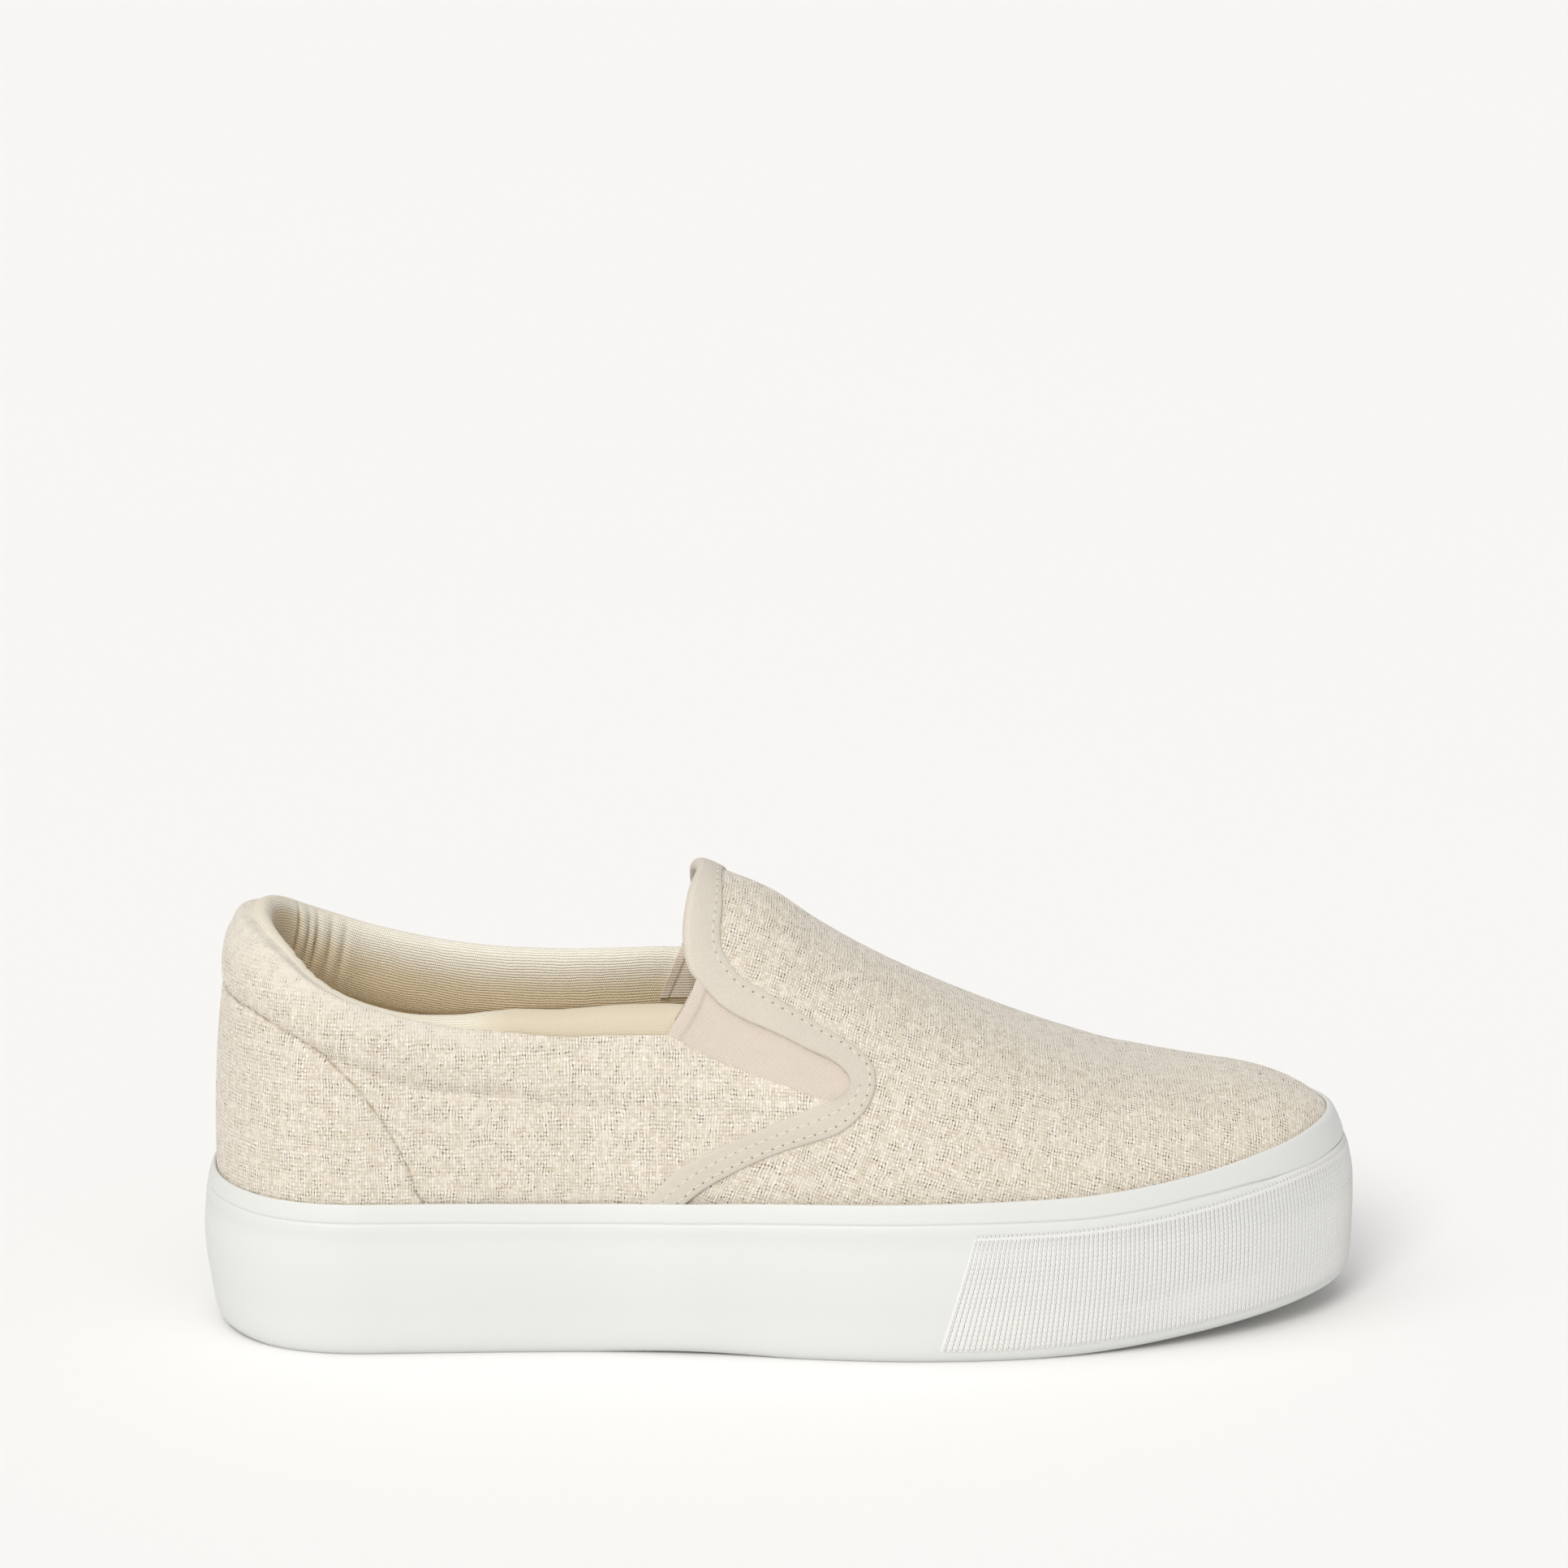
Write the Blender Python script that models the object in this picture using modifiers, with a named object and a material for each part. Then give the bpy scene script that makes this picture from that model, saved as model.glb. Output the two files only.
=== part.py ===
# A canvas slip-on sneaker on a thick platform sole: one right shoe, heel at -X, toe at +X,
# lateral side at -Y, medial side at +Y, standing on Z = 0.
# All lengths below are millimetres; make_object turns them into metres.

import math

import bmesh
import bpy
import numpy as np

MM = 0.001

# Driving dimensions
LENGTH = 270.0
UPPER_SET_IN = 3.3
UPPER_WALL = 2.2
GAP = 0.3
UPPER_LIFT = 0.8
INSOLE_THICKNESS = 4.0
STATIONS = 38
SECTION_ROWS = 13

# Plan of the sole at its widest level, before its two ends are rounded off
SOLE_PLAN = (
    ("x", "centre", "half_width"),
    (-135.0, 0.0, 36.0),
    (-85.0, -0.2, 36.3),
    (-50.0, -1.3, 35.9),
    (-20.0, -3.0, 38.2),
    (5.0, -3.2, 42.8),
    (30.0, -1.8, 47.4),
    (50.0, 0.0, 49.0),
    (75.0, 2.0, 49.0),
    (100.0, 3.9, 49.0),
    (135.0, 5.0, 49.0),
)
HEEL_ROUND = {"length": 38.0, "power": 2.2}
TOE_ROUND = {"length": 85.0, "power": 2.05}

# Heights along the sole: its underside, the board that carries the foot, and the foxing's top edge
SOLE_HEIGHTS = (
    ("x", "underside", "footbed", "foxing"),
    (-135.0, 1.0, 30.5, 37.5),
    (-118.0, 0.0, 30.5, 36.8),
    (-88.0, 0.0, 30.5, 36.8),
    (-52.0, 0.0, 30.0, 36.5),
    (-25.0, 0.8, 29.3, 37.0),
    (5.0, 0.0, 28.5, 38.1),
    (50.0, 0.0, 28.0, 38.9),
    (65.0, 0.3, 28.2, 39.0),
    (78.0, 1.0, 28.8, 39.6),
    (95.0, 2.5, 30.2, 41.1),
    (113.0, 4.4, 32.2, 43.6),
    (124.0, 5.5, 33.6, 45.0),
    (135.0, 6.4, 34.6, 45.8),
)

# The side wall swells like a barrel: how far in it stands at each share of its height
WALL_PROFILE = (
    ("share", "inset", "toe_inset"),
    (0.00, 4.4, 3.2),
    (0.03, 3.3, 1.5),
    (0.10, 2.3, 0.7),
    (0.28, 1.2, 0.2),
    (0.45, 0.3, 0.0),
    (0.60, 0.0, 0.1),
    (0.74, 0.3, 0.9),
    (0.87, 0.9, 2.2),
    (0.95, 1.6, 3.4),
    (1.00, 2.2, 4.4),
)
TOE_WALL = {"from": 70.0, "to": 128.0}
RIM_BEVEL = 0.4

# Centre line over the foot. Behind the throat it is a guide over the open collar.
CREST = (
    ("x", "y", "z"),
    (-100.0, 0.0, 125.0),
    (-60.0, -0.5, 124.5),
    (-35.0, -0.5, 117.5),
    (-17.7, -0.5, 108.4),
    (-2.0, 0.0, 101.3),
    (9.0, 0.5, 93.5),
    (21.0, 1.0, 86.0),
    (32.0, 1.6, 79.8),
    (44.0, 2.2, 73.8),
    (55.0, 3.0, 68.8),
    (67.0, 3.6, 63.9),
    (78.0, 4.2, 59.9),
    (90.0, 4.6, 57.1),
    (96.0, 4.8, 56.3),
)
# The sections stand square to the foot between these limits and fan out past them.
FAN = {"heel_from": -50.0, "heel_to": -98.0, "toe_from": 40.0, "toe_to": 96.0}
# Fullness of the sections: 2 is an ellipse, and more is squarer
SECTION_SHAPE = (
    ("x", "fullness"),
    (-132.0, 2.85),
    (-100.0, 2.7),
    (-60.0, 2.25),
    (-17.0, 2.0),
    (20.0, 2.1),
    (60.0, 2.35),
    (95.0, 2.75),
    (125.0, 3.2),
    (132.0, 3.3),
)

# Top line of the collar, and the throat that rises from it to the centre line
COLLAR = (
    ("x", "lateral", "medial"),
    (-140.0, 101.5, 101.5),
    (-129.0, 100.2, 100.4),
    (-124.0, 98.0, 98.4),
    (-118.0, 94.6, 95.5),
    (-112.0, 90.2, 92.6),
    (-106.0, 86.9, 90.2),
    (-97.0, 83.6, 87.1),
    (-87.0, 80.8, 84.4),
    (-75.0, 78.2, 82.1),
    (-62.0, 76.4, 80.9),
    (-50.0, 75.7, 80.7),
    (-36.0, 76.4, 81.3),
    (-26.0, 78.3, 81.9),
)
COLLAR_HALF_WIDTH = 30.0
# The padded roll tops the wall by this much, fading out towards the gore
ROLL_RISE = {"height": 2.8, "from": -42.0, "to": -28.0}
# On the lateral side the roll itself stands up above a lower wall
LATERAL_RISE = (
    ("x", "z"),
    (-140.0, 0.0),
    (-84.0, 0.0),
    (-76.0, 0.5),
    (-68.0, 1.8),
    (-62.0, 3.0),
    (-51.0, 4.0),
    (-40.0, 4.3),
    (-26.0, 4.3),
)
THROAT = (
    ("x", "z"),
    (-24.3, 85.5),
    (-23.4, 89.5),
    (-23.6, 95.0),
    (-22.6, 102.0),
    (-20.0, 107.0),
    (-17.6, 111.5),
    (-16.0, 120.0),
)

# Elastic wedge between vamp and quarter: its lower and upper edges from the collar to its tip
GORE = (
    ("share", "lower_x", "lower_z", "upper_x", "upper_z"),
    (0.0, -26.7, 77.7, -22.8, 88.2),
    (0.3, -15.5, 70.4, -11.2, 79.8),
    (0.65, -3.5, 66.0, 3.0, 73.4),
    (1.0, 11.0, 61.8, 13.6, 66.2),
)
GORE_MEDIAL_RISE = 3.2
GORE_DEPTH = 0.5
GORE_THICKNESS = 1.4
GORE_CLEAR = 0.5
GORE_NOTCH = {"start": -0.15, "outside": -3.0, "inside": 6.0, "run": 40.0}

# Padded roll inside the collar
PAD = {
    "height": 17.5,
    "bulge": 6.0,
    "edge": 0.9,
    "lean": 2.8,
    "crown": 1.9,
    "round_share": 0.2,
    "front_x": -29.5,
    "clear": 0.5,
    "taper": 0.06,
}
PAD_ROWS = (0.0, 0.06, 0.14, 0.26, 0.42, 0.58, 0.74, 0.88, 1.0)
PAD_COLUMNS = 53
PAD_COLUMN_PACE = 0.85

# Textured strip round the toe
BUMPER = {"foot": 2.6, "below_foxing": 5.6, "proud": 0.5, "thickness": 1.4, "low_x": 34.0, "high_x": 42.5}
BUMPER_ROWS = 5
BUMPER_COLUMNS = 45
WALL_HEIGHT = 39.0
CUTTER_REACH = 5.0

# Grooves that leave the main lugs, cut from below
GROOVE = {"width": 3.0, "depth": 2.0, "margin": 9.0, "run_out": 1.0, "stop_short": 12.0}
FOREFOOT_GROOVES = {"first": 12.0, "last": 108.0, "count": 9}
HEEL_GROOVES = {"first": -116.0, "last": -60.0, "count": 6}


def monotone(knots, values, x):
    # Piecewise cubic through the rows that never overshoots them
    x = np.clip(x, knots[0], knots[-1])
    width = np.diff(knots)
    slope = np.diff(values) / width
    tangent = np.concatenate([slope[:1], np.zeros(len(slope) - 1), slope[-1:]])
    for i in range(1, len(slope)):
        if slope[i - 1] * slope[i] > 0:
            before = 2 * width[i] + width[i - 1]
            after = width[i] + 2 * width[i - 1]
            tangent[i] = (before + after) / (before / slope[i - 1] + after / slope[i])
    i = np.clip(np.searchsorted(knots, x) - 1, 0, len(width) - 1)
    t = (x - knots[i]) / width[i]
    return (
        values[i] * (1 + 2 * t) * (1 - t) ** 2
        + values[i + 1] * t**2 * (3 - 2 * t)
        + tangent[i] * width[i] * t * (1 - t) ** 2
        - tangent[i + 1] * width[i] * t**2 * (1 - t)
    )


def along(table, name, x):
    rows = np.array(table[1:], float)
    return monotone(rows[:, 0], rows[:, table[0].index(name)], np.asarray(x, float))


def rounded_end(distance, cap):
    # 0 at the very end of the plan, 1 from the cap's length inwards
    share = np.clip(1 - distance / cap["length"], 0, 1)
    return (1 - share ** cap["power"]) ** (1 / cap["power"])


def plan_x(s, set_in=0.0):
    return -(LENGTH / 2 - set_in) * np.cos(math.pi * s)


def plan_point(side, s, set_in=0.0):
    # Plan of the sole, or of the upper that stands set_in from its edge
    x = plan_x(s, set_in)
    heel = {**HEEL_ROUND, "length": HEEL_ROUND["length"] - set_in}
    toe = {**TOE_ROUND, "length": TOE_ROUND["length"] - set_in}
    end = LENGTH / 2 - set_in
    half = (along(SOLE_PLAN, "half_width", x) - set_in) * rounded_end(end + x, heel) * rounded_end(end - x, toe)
    return x, along(SOLE_PLAN, "centre", x) + side * half


def outline(side, s, inset, height):
    # A point of the sole's edge, moved inwards along the plan's normal
    x, y = plan_point(side, s)
    step = 1e-3
    ahead_side = np.where(s + step > 1, -side, side)
    ahead = plan_point(ahead_side, np.where(s + step > 1, 2 - s - step, s + step))
    behind_side = np.where(s - step < 0, -side, side)
    behind = plan_point(behind_side, np.where(s - step < 0, step - s, s - step))
    tangent = np.stack([ahead[0] - behind[0], ahead[1] - behind[1]], -1)
    tangent /= np.linalg.norm(tangent, axis=-1, keepdims=True)
    x = x + side * tangent[..., 1] * inset
    y = y - side * tangent[..., 0] * inset
    return np.stack(np.broadcast_arrays(x, y, height), -1)


def wall_point(side, s, share, proud=0.0):
    # The sole's side wall at a share of its height
    x = plan_x(s)
    low = along(SOLE_HEIGHTS, "underside", x)
    high = along(SOLE_HEIGHTS, "foxing", x)
    toe = np.clip((x - TOE_WALL["from"]) / (TOE_WALL["to"] - TOE_WALL["from"]), 0, 1)
    toe = toe**2 * (3 - 2 * toe)
    inset = along(WALL_PROFILE, "inset", share) * (1 - toe) + along(WALL_PROFILE, "toe_inset", share) * toe
    return outline(side, s, inset - proud, low + share * (high - low))


def fan_x(x, limit, reach, end):
    # Crest position of a section whose foot is at x: past the limit it slows down, to stop at reach
    share = np.clip((x - limit) / (end - limit), 0, 1)
    pace = (end - limit) / (reach - limit)
    return limit + (reach - limit) * (pace * share - (pace - 1) * share**2)


def last_point(side, s, v):
    # Outer surface of the upper. s runs 0 to 1 from heel to toe, v 0 to 1 from the footbed to the
    # crest. Past 0 or 1 a point goes over to the other side.
    side, s, v = np.broadcast_arrays(np.asarray(side, float), s, v)
    side = np.where((v > 1) ^ (s < 0) ^ (s > 1), -side, side)
    v = np.where(v > 1, 2 - v, np.maximum(v, 0))
    s = np.abs(s)
    s = np.where(s > 1, 2 - s, s)
    foot_x, foot_y = plan_point(side, s, UPPER_SET_IN)
    end = LENGTH / 2 - UPPER_SET_IN
    crest_x = np.where(foot_x > FAN["toe_from"], fan_x(foot_x, FAN["toe_from"], FAN["toe_to"], end), foot_x)
    crest_x = np.where(foot_x < FAN["heel_from"], fan_x(foot_x, FAN["heel_from"], FAN["heel_to"], -end), crest_x)
    crest_y = along(CREST, "y", crest_x)
    crest_z = along(CREST, "z", crest_x)
    fall = (along(CREST, "z", crest_x) - along(CREST, "z", crest_x - 2)) / 2
    foot_z = along(SOLE_HEIGHTS, "footbed", foot_x) + UPPER_LIFT
    power = 2 / along(SECTION_SHAPE, "fullness", foot_x)
    out = np.maximum(np.cos(v * math.pi / 2), 0) ** power
    up = np.sin(v * math.pi / 2) ** power
    x = crest_x + (foot_x - crest_x) * out
    y = crest_y + (foot_y - crest_y) * out
    z = foot_z + (crest_z - foot_z + fall * np.maximum(x - crest_x, 0)) * up
    return np.stack([x, y, z], -1)


def last_normal(side, s, v):
    step = 2e-3
    s_inside = np.clip(s, step, 1 - step)
    v_inside = np.clip(v, step, 1 - step)
    along_s = last_point(side, s_inside + step, v_inside) - last_point(side, s_inside - step, v_inside)
    along_v = last_point(side, s_inside, v_inside + step) - last_point(side, s_inside, v_inside - step)
    normal = np.cross(along_s, along_v)
    normal *= -np.asarray(side, float)[..., None]
    return normal / np.linalg.norm(normal, axis=-1, keepdims=True)


def last_offset(side, s, v, depth):
    # A point at this depth under the upper's outer surface
    side, s, v, depth = np.broadcast_arrays(np.asarray(side, float), s, v, depth)
    return last_point(side, s, v) - last_normal(side, s, v) * depth[..., None]


def v_at_height(side, s, height):
    # The v at which the section reaches a height, which may be a function of the point
    low = np.zeros(np.broadcast(side, s).shape)
    high = np.ones_like(low)
    for _ in range(30):
        middle = (low + high) / 2
        point = last_point(side, s, middle)
        wanted = height(point) if callable(height) else height
        below = point[..., 2] < wanted
        low = np.where(below, middle, low)
        high = np.where(below, high, middle)
    return (low + high) / 2


def find_on_last(side, x, z):
    # The s and v of the point seen at x and z from the side, by Newton's method
    side, x, z = np.broadcast_arrays(np.asarray(side, float), x, z)
    s = np.arccos(np.clip(-x / (LENGTH / 2 - UPPER_SET_IN), -1, 1)) / math.pi
    v = v_at_height(side, s, z)
    step = 1e-4
    for _ in range(12):
        point = last_point(side, s, v)
        by_s = (last_point(side, s + step, v) - point) / step
        by_v = (last_point(side, s, v + step) - point) / step
        miss_x = x - point[..., 0]
        miss_z = z - point[..., 2]
        area = by_s[..., 0] * by_v[..., 2] - by_s[..., 2] * by_v[..., 0]
        s = np.clip(s + (miss_x * by_v[..., 2] - miss_z * by_v[..., 0]) / area, 0.01, 0.99)
        v = np.clip(v + (miss_z * by_s[..., 0] - miss_x * by_s[..., 2]) / area, 0.01, 0.99)
    return s, v


def collar_height(point):
    # The collar's top line, ruled between its lateral and medial heights
    share = 0.5 + point[..., 1] / (2 * COLLAR_HALF_WIDTH)
    lateral = along(COLLAR, "lateral", point[..., 0])
    medial = along(COLLAR, "medial", point[..., 0])
    return lateral + (medial - lateral) * share


def lateral_rise(point):
    # How far the roll stands above the collar's top line, all of it on the lateral side
    share = np.clip(0.5 - point[..., 1] / (2 * COLLAR_HALF_WIDTH), 0, 1)
    return along(LATERAL_RISE, "z", point[..., 0]) * share


def make_material(name, colour, roughness):
    material = bpy.data.materials.new(name)
    material.use_nodes = True
    shader = material.node_tree.nodes["Principled BSDF"]
    shader.inputs["Base Color"].default_value = (*colour, 1.0)
    shader.inputs["Roughness"].default_value = roughness
    shader.inputs["Metallic"].default_value = 0.0
    return material


def make_collection(name):
    collection = bpy.data.collections.new(name)
    bpy.context.scene.collection.children.link(collection)
    return collection


def make_object(name, points, faces, collection, material=None):
    mesh = bpy.data.meshes.new(name)
    mesh.from_pydata((np.reshape(points, (-1, 3)) * MM).tolist(), [], faces)
    shape = bmesh.new()
    shape.from_mesh(mesh)
    bmesh.ops.recalc_face_normals(shape, faces=shape.faces)
    shape.to_mesh(mesh)
    shape.free()
    item = bpy.data.objects.new(name, mesh)
    collection.objects.link(item)
    if material:
        mesh.materials.append(material)
        mesh.shade_smooth()
        mesh.set_sharp_from_angle(angle=math.radians(40))
    else:
        item.hide_render = True
        item.display_type = "WIRE"
    return item


def cut(item, cutter):
    modifier = item.modifiers.new(cutter.name, "BOOLEAN")
    modifier.operation = "DIFFERENCE"
    modifier.solver = "EXACT"
    modifier.object = cutter


def ring_sides():
    # Stations once round the shoe: up the lateral side and back along the medial one
    s = np.arange(STATIONS + 1) / STATIONS
    sides = np.concatenate([-np.ones(STATIONS + 1), np.ones(STATIONS - 1)])
    return sides, np.concatenate([s, s[-2:0:-1]])


def skin(rings):
    # Quads between each ring and the next
    count = len(rings[0])
    faces = []
    for row in range(len(rings) - 1):
        for i in range(count):
            j = (i + 1) % count
            faces.append((row * count + i, row * count + j, (row + 1) * count + j, (row + 1) * count + i))
    return faces


def ladder(first):
    # Closes a ring across the shoe, from each lateral station to the medial one opposite
    count = 2 * STATIONS
    faces = [(first, first + 1, first + count - 1)]
    for i in range(1, STATIONS - 1):
        faces.append((first + i, first + i + 1, first + count - i - 1, first + count - i))
    faces.append((first + STATIONS - 1, first + STATIONS, first + STATIONS + 1))
    return faces


def closed_rings(name, rings, collection, material):
    faces = skin(rings) + ladder(0) + ladder((len(rings) - 1) * len(rings[0]))
    return make_object(name, np.concatenate(rings), faces, collection, material)


def slab(name, outer, inner, collection, material=None):
    # A solid between two grids of points with the same layout
    rows, columns = outer.shape[:2]
    far = rows * columns
    faces = []
    for i in range(rows - 1):
        for j in range(columns - 1):
            a = i * columns + j
            faces.append((a, a + 1, a + columns + 1, a + columns))
            faces.append((far + a, far + a + columns, far + a + columns + 1, far + a + 1))
    for i in range(rows - 1):
        for a in (i * columns, i * columns + columns - 1):
            faces.append((a, a + columns, far + a + columns, far + a))
    for j in range(columns - 1):
        for a in (j, (rows - 1) * columns + j):
            faces.append((a, a + 1, far + a + 1, far + a))
    points = np.concatenate([outer.reshape(-1, 3), inner.reshape(-1, 3)])
    return make_object(name, points, faces, collection, material)


def build_sole(parts, cutters, material):
    side, s = ring_sides()
    foot_x = plan_x(s, UPPER_SET_IN)
    rings = [wall_point(side, s, row[0]) for row in WALL_PROFILE[1:]]
    rim = along(SOLE_HEIGHTS, "foxing", foot_x)
    footbed = along(SOLE_HEIGHTS, "footbed", foot_x)
    for depth in (0.0, 0.15, 0.35, 0.65):
        height = rim - RIM_BEVEL - depth * (rim - RIM_BEVEL - footbed)
        rings.append(last_offset(side, s, v_at_height(side, s, height), -GAP))
    ring = last_offset(side, s, 0.0, -GAP)
    ring[:, 2] = footbed
    rings.append(ring)
    sole = closed_rings("sole", rings, parts, material)
    cut(sole, bumper_solid("bumper_seat", cutters, None, GAP, CUTTER_REACH))
    cut(sole, groove_bars("cross_grooves", cutters))
    cut(sole, centre_grooves("centre_grooves", cutters))
    return sole


def bumper_solid(name, collection, material, grow, proud):
    # The strip's outer face stands proud of the wall, and its inner face lies in the wall
    share = np.linspace(0, 1, BUMPER_ROWS)[:, None]
    across = np.linspace(-1, 1, BUMPER_COLUMNS)[None, :]
    side = np.where(across < 0, -1.0, 1.0) * np.ones_like(share)
    low = (BUMPER["foot"] - grow) / WALL_HEIGHT
    high = 1 - (BUMPER["below_foxing"] - grow) / WALL_HEIGHT
    end_x = BUMPER["low_x"] + (BUMPER["high_x"] - BUMPER["low_x"]) * share - grow
    start = np.arccos(-end_x / (LENGTH / 2)) / math.pi
    s = 1 - (1 - start) * np.abs(across)
    height = low + (high - low) * share * np.ones_like(across)
    outer = wall_point(side, s, height, proud)
    inner = wall_point(side, s, height, BUMPER["proud"] - BUMPER["thickness"] - grow)
    return slab(name, outer, inner, collection, material)


def box(shape, low, high):
    made = bmesh.ops.create_cube(shape, size=1.0)["verts"]
    bmesh.ops.scale(shape, verts=made, vec=[h - l for l, h in zip(low, high)])
    bmesh.ops.translate(shape, verts=made, vec=[(h + l) / 2 for l, h in zip(low, high)])


def bars_object(name, collection, bars):
    shape = bmesh.new()
    for low, high in bars:
        box(shape, low, high)
    mesh = bpy.data.meshes.new(name)
    shape.to_mesh(mesh)
    shape.free()
    points = np.array([vertex.co for vertex in mesh.vertices])
    faces = [tuple(face.vertices) for face in mesh.polygons]
    bpy.data.meshes.remove(mesh)
    return make_object(name, points, faces, collection)


def groove_bars(name, collection):
    # Grooves across the tread, each ending inside the plain border
    bars = []
    for zone in (HEEL_GROOVES, FOREFOOT_GROOVES):
        for x in np.linspace(zone["first"], zone["last"], zone["count"]):
            s = np.arccos(-x / (LENGTH / 2)) / math.pi
            lateral = plan_point(-1.0, s)[1] + GROOVE["margin"]
            medial = plan_point(1.0, s)[1] - GROOVE["margin"]
            top = along(SOLE_HEIGHTS, "underside", x) + GROOVE["depth"]
            reach = GROOVE["width"] / 2
            bars.append(((x - reach, lateral, -CUTTER_REACH), (x + reach, medial, top)))
    return bars_object(name, collection, bars)


def centre_grooves(name, collection):
    bars = []
    for zone in (HEEL_GROOVES, FOREFOOT_GROOVES):
        middle = along(SOLE_PLAN, "centre", (zone["first"] + zone["last"]) / 2)
        reach = GROOVE["width"] / 2
        low = (zone["first"] - GROOVE["run_out"], middle - reach, -CUTTER_REACH)
        high = (zone["last"] - GROOVE["stop_short"], middle + reach, GROOVE["depth"])
        bars.append((low, high))
    return bars_object(name, collection, bars)


def opening_cutter(cutters):
    # A prism over the collar and the throat, ruled from its lateral to its medial outline
    reach = 75.0
    x = np.linspace(-140.0, -26.0, 24)
    outline_points = []
    for y in (-reach, reach):
        point = np.stack([x, np.full_like(x, y), np.zeros_like(x)], -1)
        fade = np.clip((ROLL_RISE["to"] - x) / (ROLL_RISE["to"] - ROLL_RISE["from"]), 0, 1)
        raised = along(LATERAL_RISE, "z", x) / LATERAL_RISE[-1][1]
        fade *= 1 - raised * (0.5 - y / (2 * COLLAR_HALF_WIDTH))
        wall_top = collar_height(point) - ROLL_RISE["height"] * fade
        collar = np.stack([x, np.full_like(x, y), wall_top], -1)
        throat = [(row[0], y, row[1]) for row in THROAT[1:]]
        frame = [(THROAT[-1][0], y, 150.0), (-140.0, y, 150.0)]
        outline_points.append(np.concatenate([collar, throat, frame]))
    count = len(outline_points[0])
    faces = [(i, (i + 1) % count, count + (i + 1) % count, count + i) for i in range(count)]
    faces += [tuple(range(count)), tuple(range(count, 2 * count))]
    return make_object("collar_opening", np.concatenate(outline_points), faces, cutters)


def gore_grid(side, grow, start, depth):
    # The wedge's points at this depth, its edges moved out by grow
    share = np.linspace(start, 1.0, 9)[:, None]
    inside = np.clip(share, 0, 1)
    lower = np.concatenate([along(GORE, "lower_x", inside), along(GORE, "lower_z", inside)], 1)
    upper = np.concatenate([along(GORE, "upper_x", inside), along(GORE, "upper_z", inside)], 1)
    run = upper[-1] + lower[-1] - upper[-2] - lower[-2]
    run /= np.linalg.norm(run)
    lower += (share - inside) * GORE_NOTCH["run"] * run
    upper += (share - inside) * GORE_NOTCH["run"] * run
    across = upper - lower
    across /= np.linalg.norm(across, axis=1, keepdims=True)
    lower -= across * grow
    upper += across * grow
    lower[-1] += run * grow
    upper[-1] += run * grow
    rows = np.linspace(0, 1, 4)[None, :, None]
    flat = lower[:, None, :] + (upper - lower)[:, None, :] * rows
    rise = GORE_MEDIAL_RISE * (1 - inside) * max(side, 0.0)
    s, v = find_on_last(side, flat[..., 0], flat[..., 1] + rise)
    return last_offset(side, s, v, depth)


def build_gore(name, side, parts, material):
    outer = gore_grid(side, 0.0, 0.0, GORE_DEPTH)
    inner = gore_grid(side, 0.0, 0.0, GORE_DEPTH + GORE_THICKNESS)
    return slab(name, outer, inner, parts, material)


def gore_cutter(name, side, cutters):
    outer = gore_grid(side, GORE_CLEAR, GORE_NOTCH["start"], GORE_NOTCH["outside"])
    inner = gore_grid(side, GORE_CLEAR, GORE_NOTCH["start"], GORE_NOTCH["inside"])
    return slab(name, outer, inner, cutters)


def build_upper(parts, cutters, material):
    # One closed dome over the last, thickened inwards, then opened at the collar and for the gores
    side, s = ring_sides()
    rows = [last_point(side, s, row / SECTION_ROWS) for row in range(SECTION_ROWS)]
    faces = skin(rows)
    crest = last_point(-1.0, np.arange(STATIONS + 1) / STATIONS, 1.0)
    ring = (SECTION_ROWS - 1) * 2 * STATIONS
    top = SECTION_ROWS * 2 * STATIONS
    for i in range(STATIONS):
        faces.append((ring + i, ring + i + 1, top + i + 1, top + i))
        medial = ring + (2 * STATIONS - i) % (2 * STATIONS)
        faces.append((ring + 2 * STATIONS - i - 1, medial, top + i, top + i + 1))
    upper = make_object("upper", np.concatenate([*rows, crest]), faces, parts, material)
    wall = upper.modifiers.new("wall", "SOLIDIFY")
    wall.thickness = UPPER_WALL * MM
    wall.offset = -1.0
    wall.use_quality_normals = True
    cut(upper, opening_cutter(cutters))
    cut(upper, gore_cutter("gore_notch_lateral", -1.0, cutters))
    cut(upper, gore_cutter("gore_notch_medial", 1.0, cutters))
    return upper


def build_collar_pad(parts, material):
    # Foam roll against the inside of the collar, from one gore round the heel to the other.
    # Its top leans in over the wall, so that the section is rounded there.
    end = np.arccos(-PAD["front_x"] / (LENGTH / 2 - UPPER_SET_IN)) / math.pi
    across = np.linspace(-1, 1, PAD_COLUMNS)[:, None]
    side = np.where(across < 0, -1.0, 1.0)
    s = end * np.abs(across) ** PAD_COLUMN_PACE
    share = np.array(PAD_ROWS)[None, :]
    shape = (side * np.ones_like(share), s * np.ones_like(share))
    near_top = (1 - np.clip(share / PAD["round_share"], 0, 1)) ** 1.5
    drop = PAD["height"] * share - PAD["crown"] * near_top
    v = v_at_height(*shape, lambda point: collar_height(point) + lateral_rise(point) - drop)
    taper = np.clip((1 - np.abs(across)) / PAD["taper"], 0, 1) ** 0.5
    bulge = PAD["edge"] + PAD["bulge"] * np.sin(math.pi * share) ** 0.6 * taper
    depth = UPPER_WALL + PAD["clear"] + PAD["lean"] * near_top
    outer = last_offset(*shape, v, depth)
    inner = last_offset(*shape, v, depth + bulge)
    return slab("collar_pad", outer, inner, parts, material)


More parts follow.
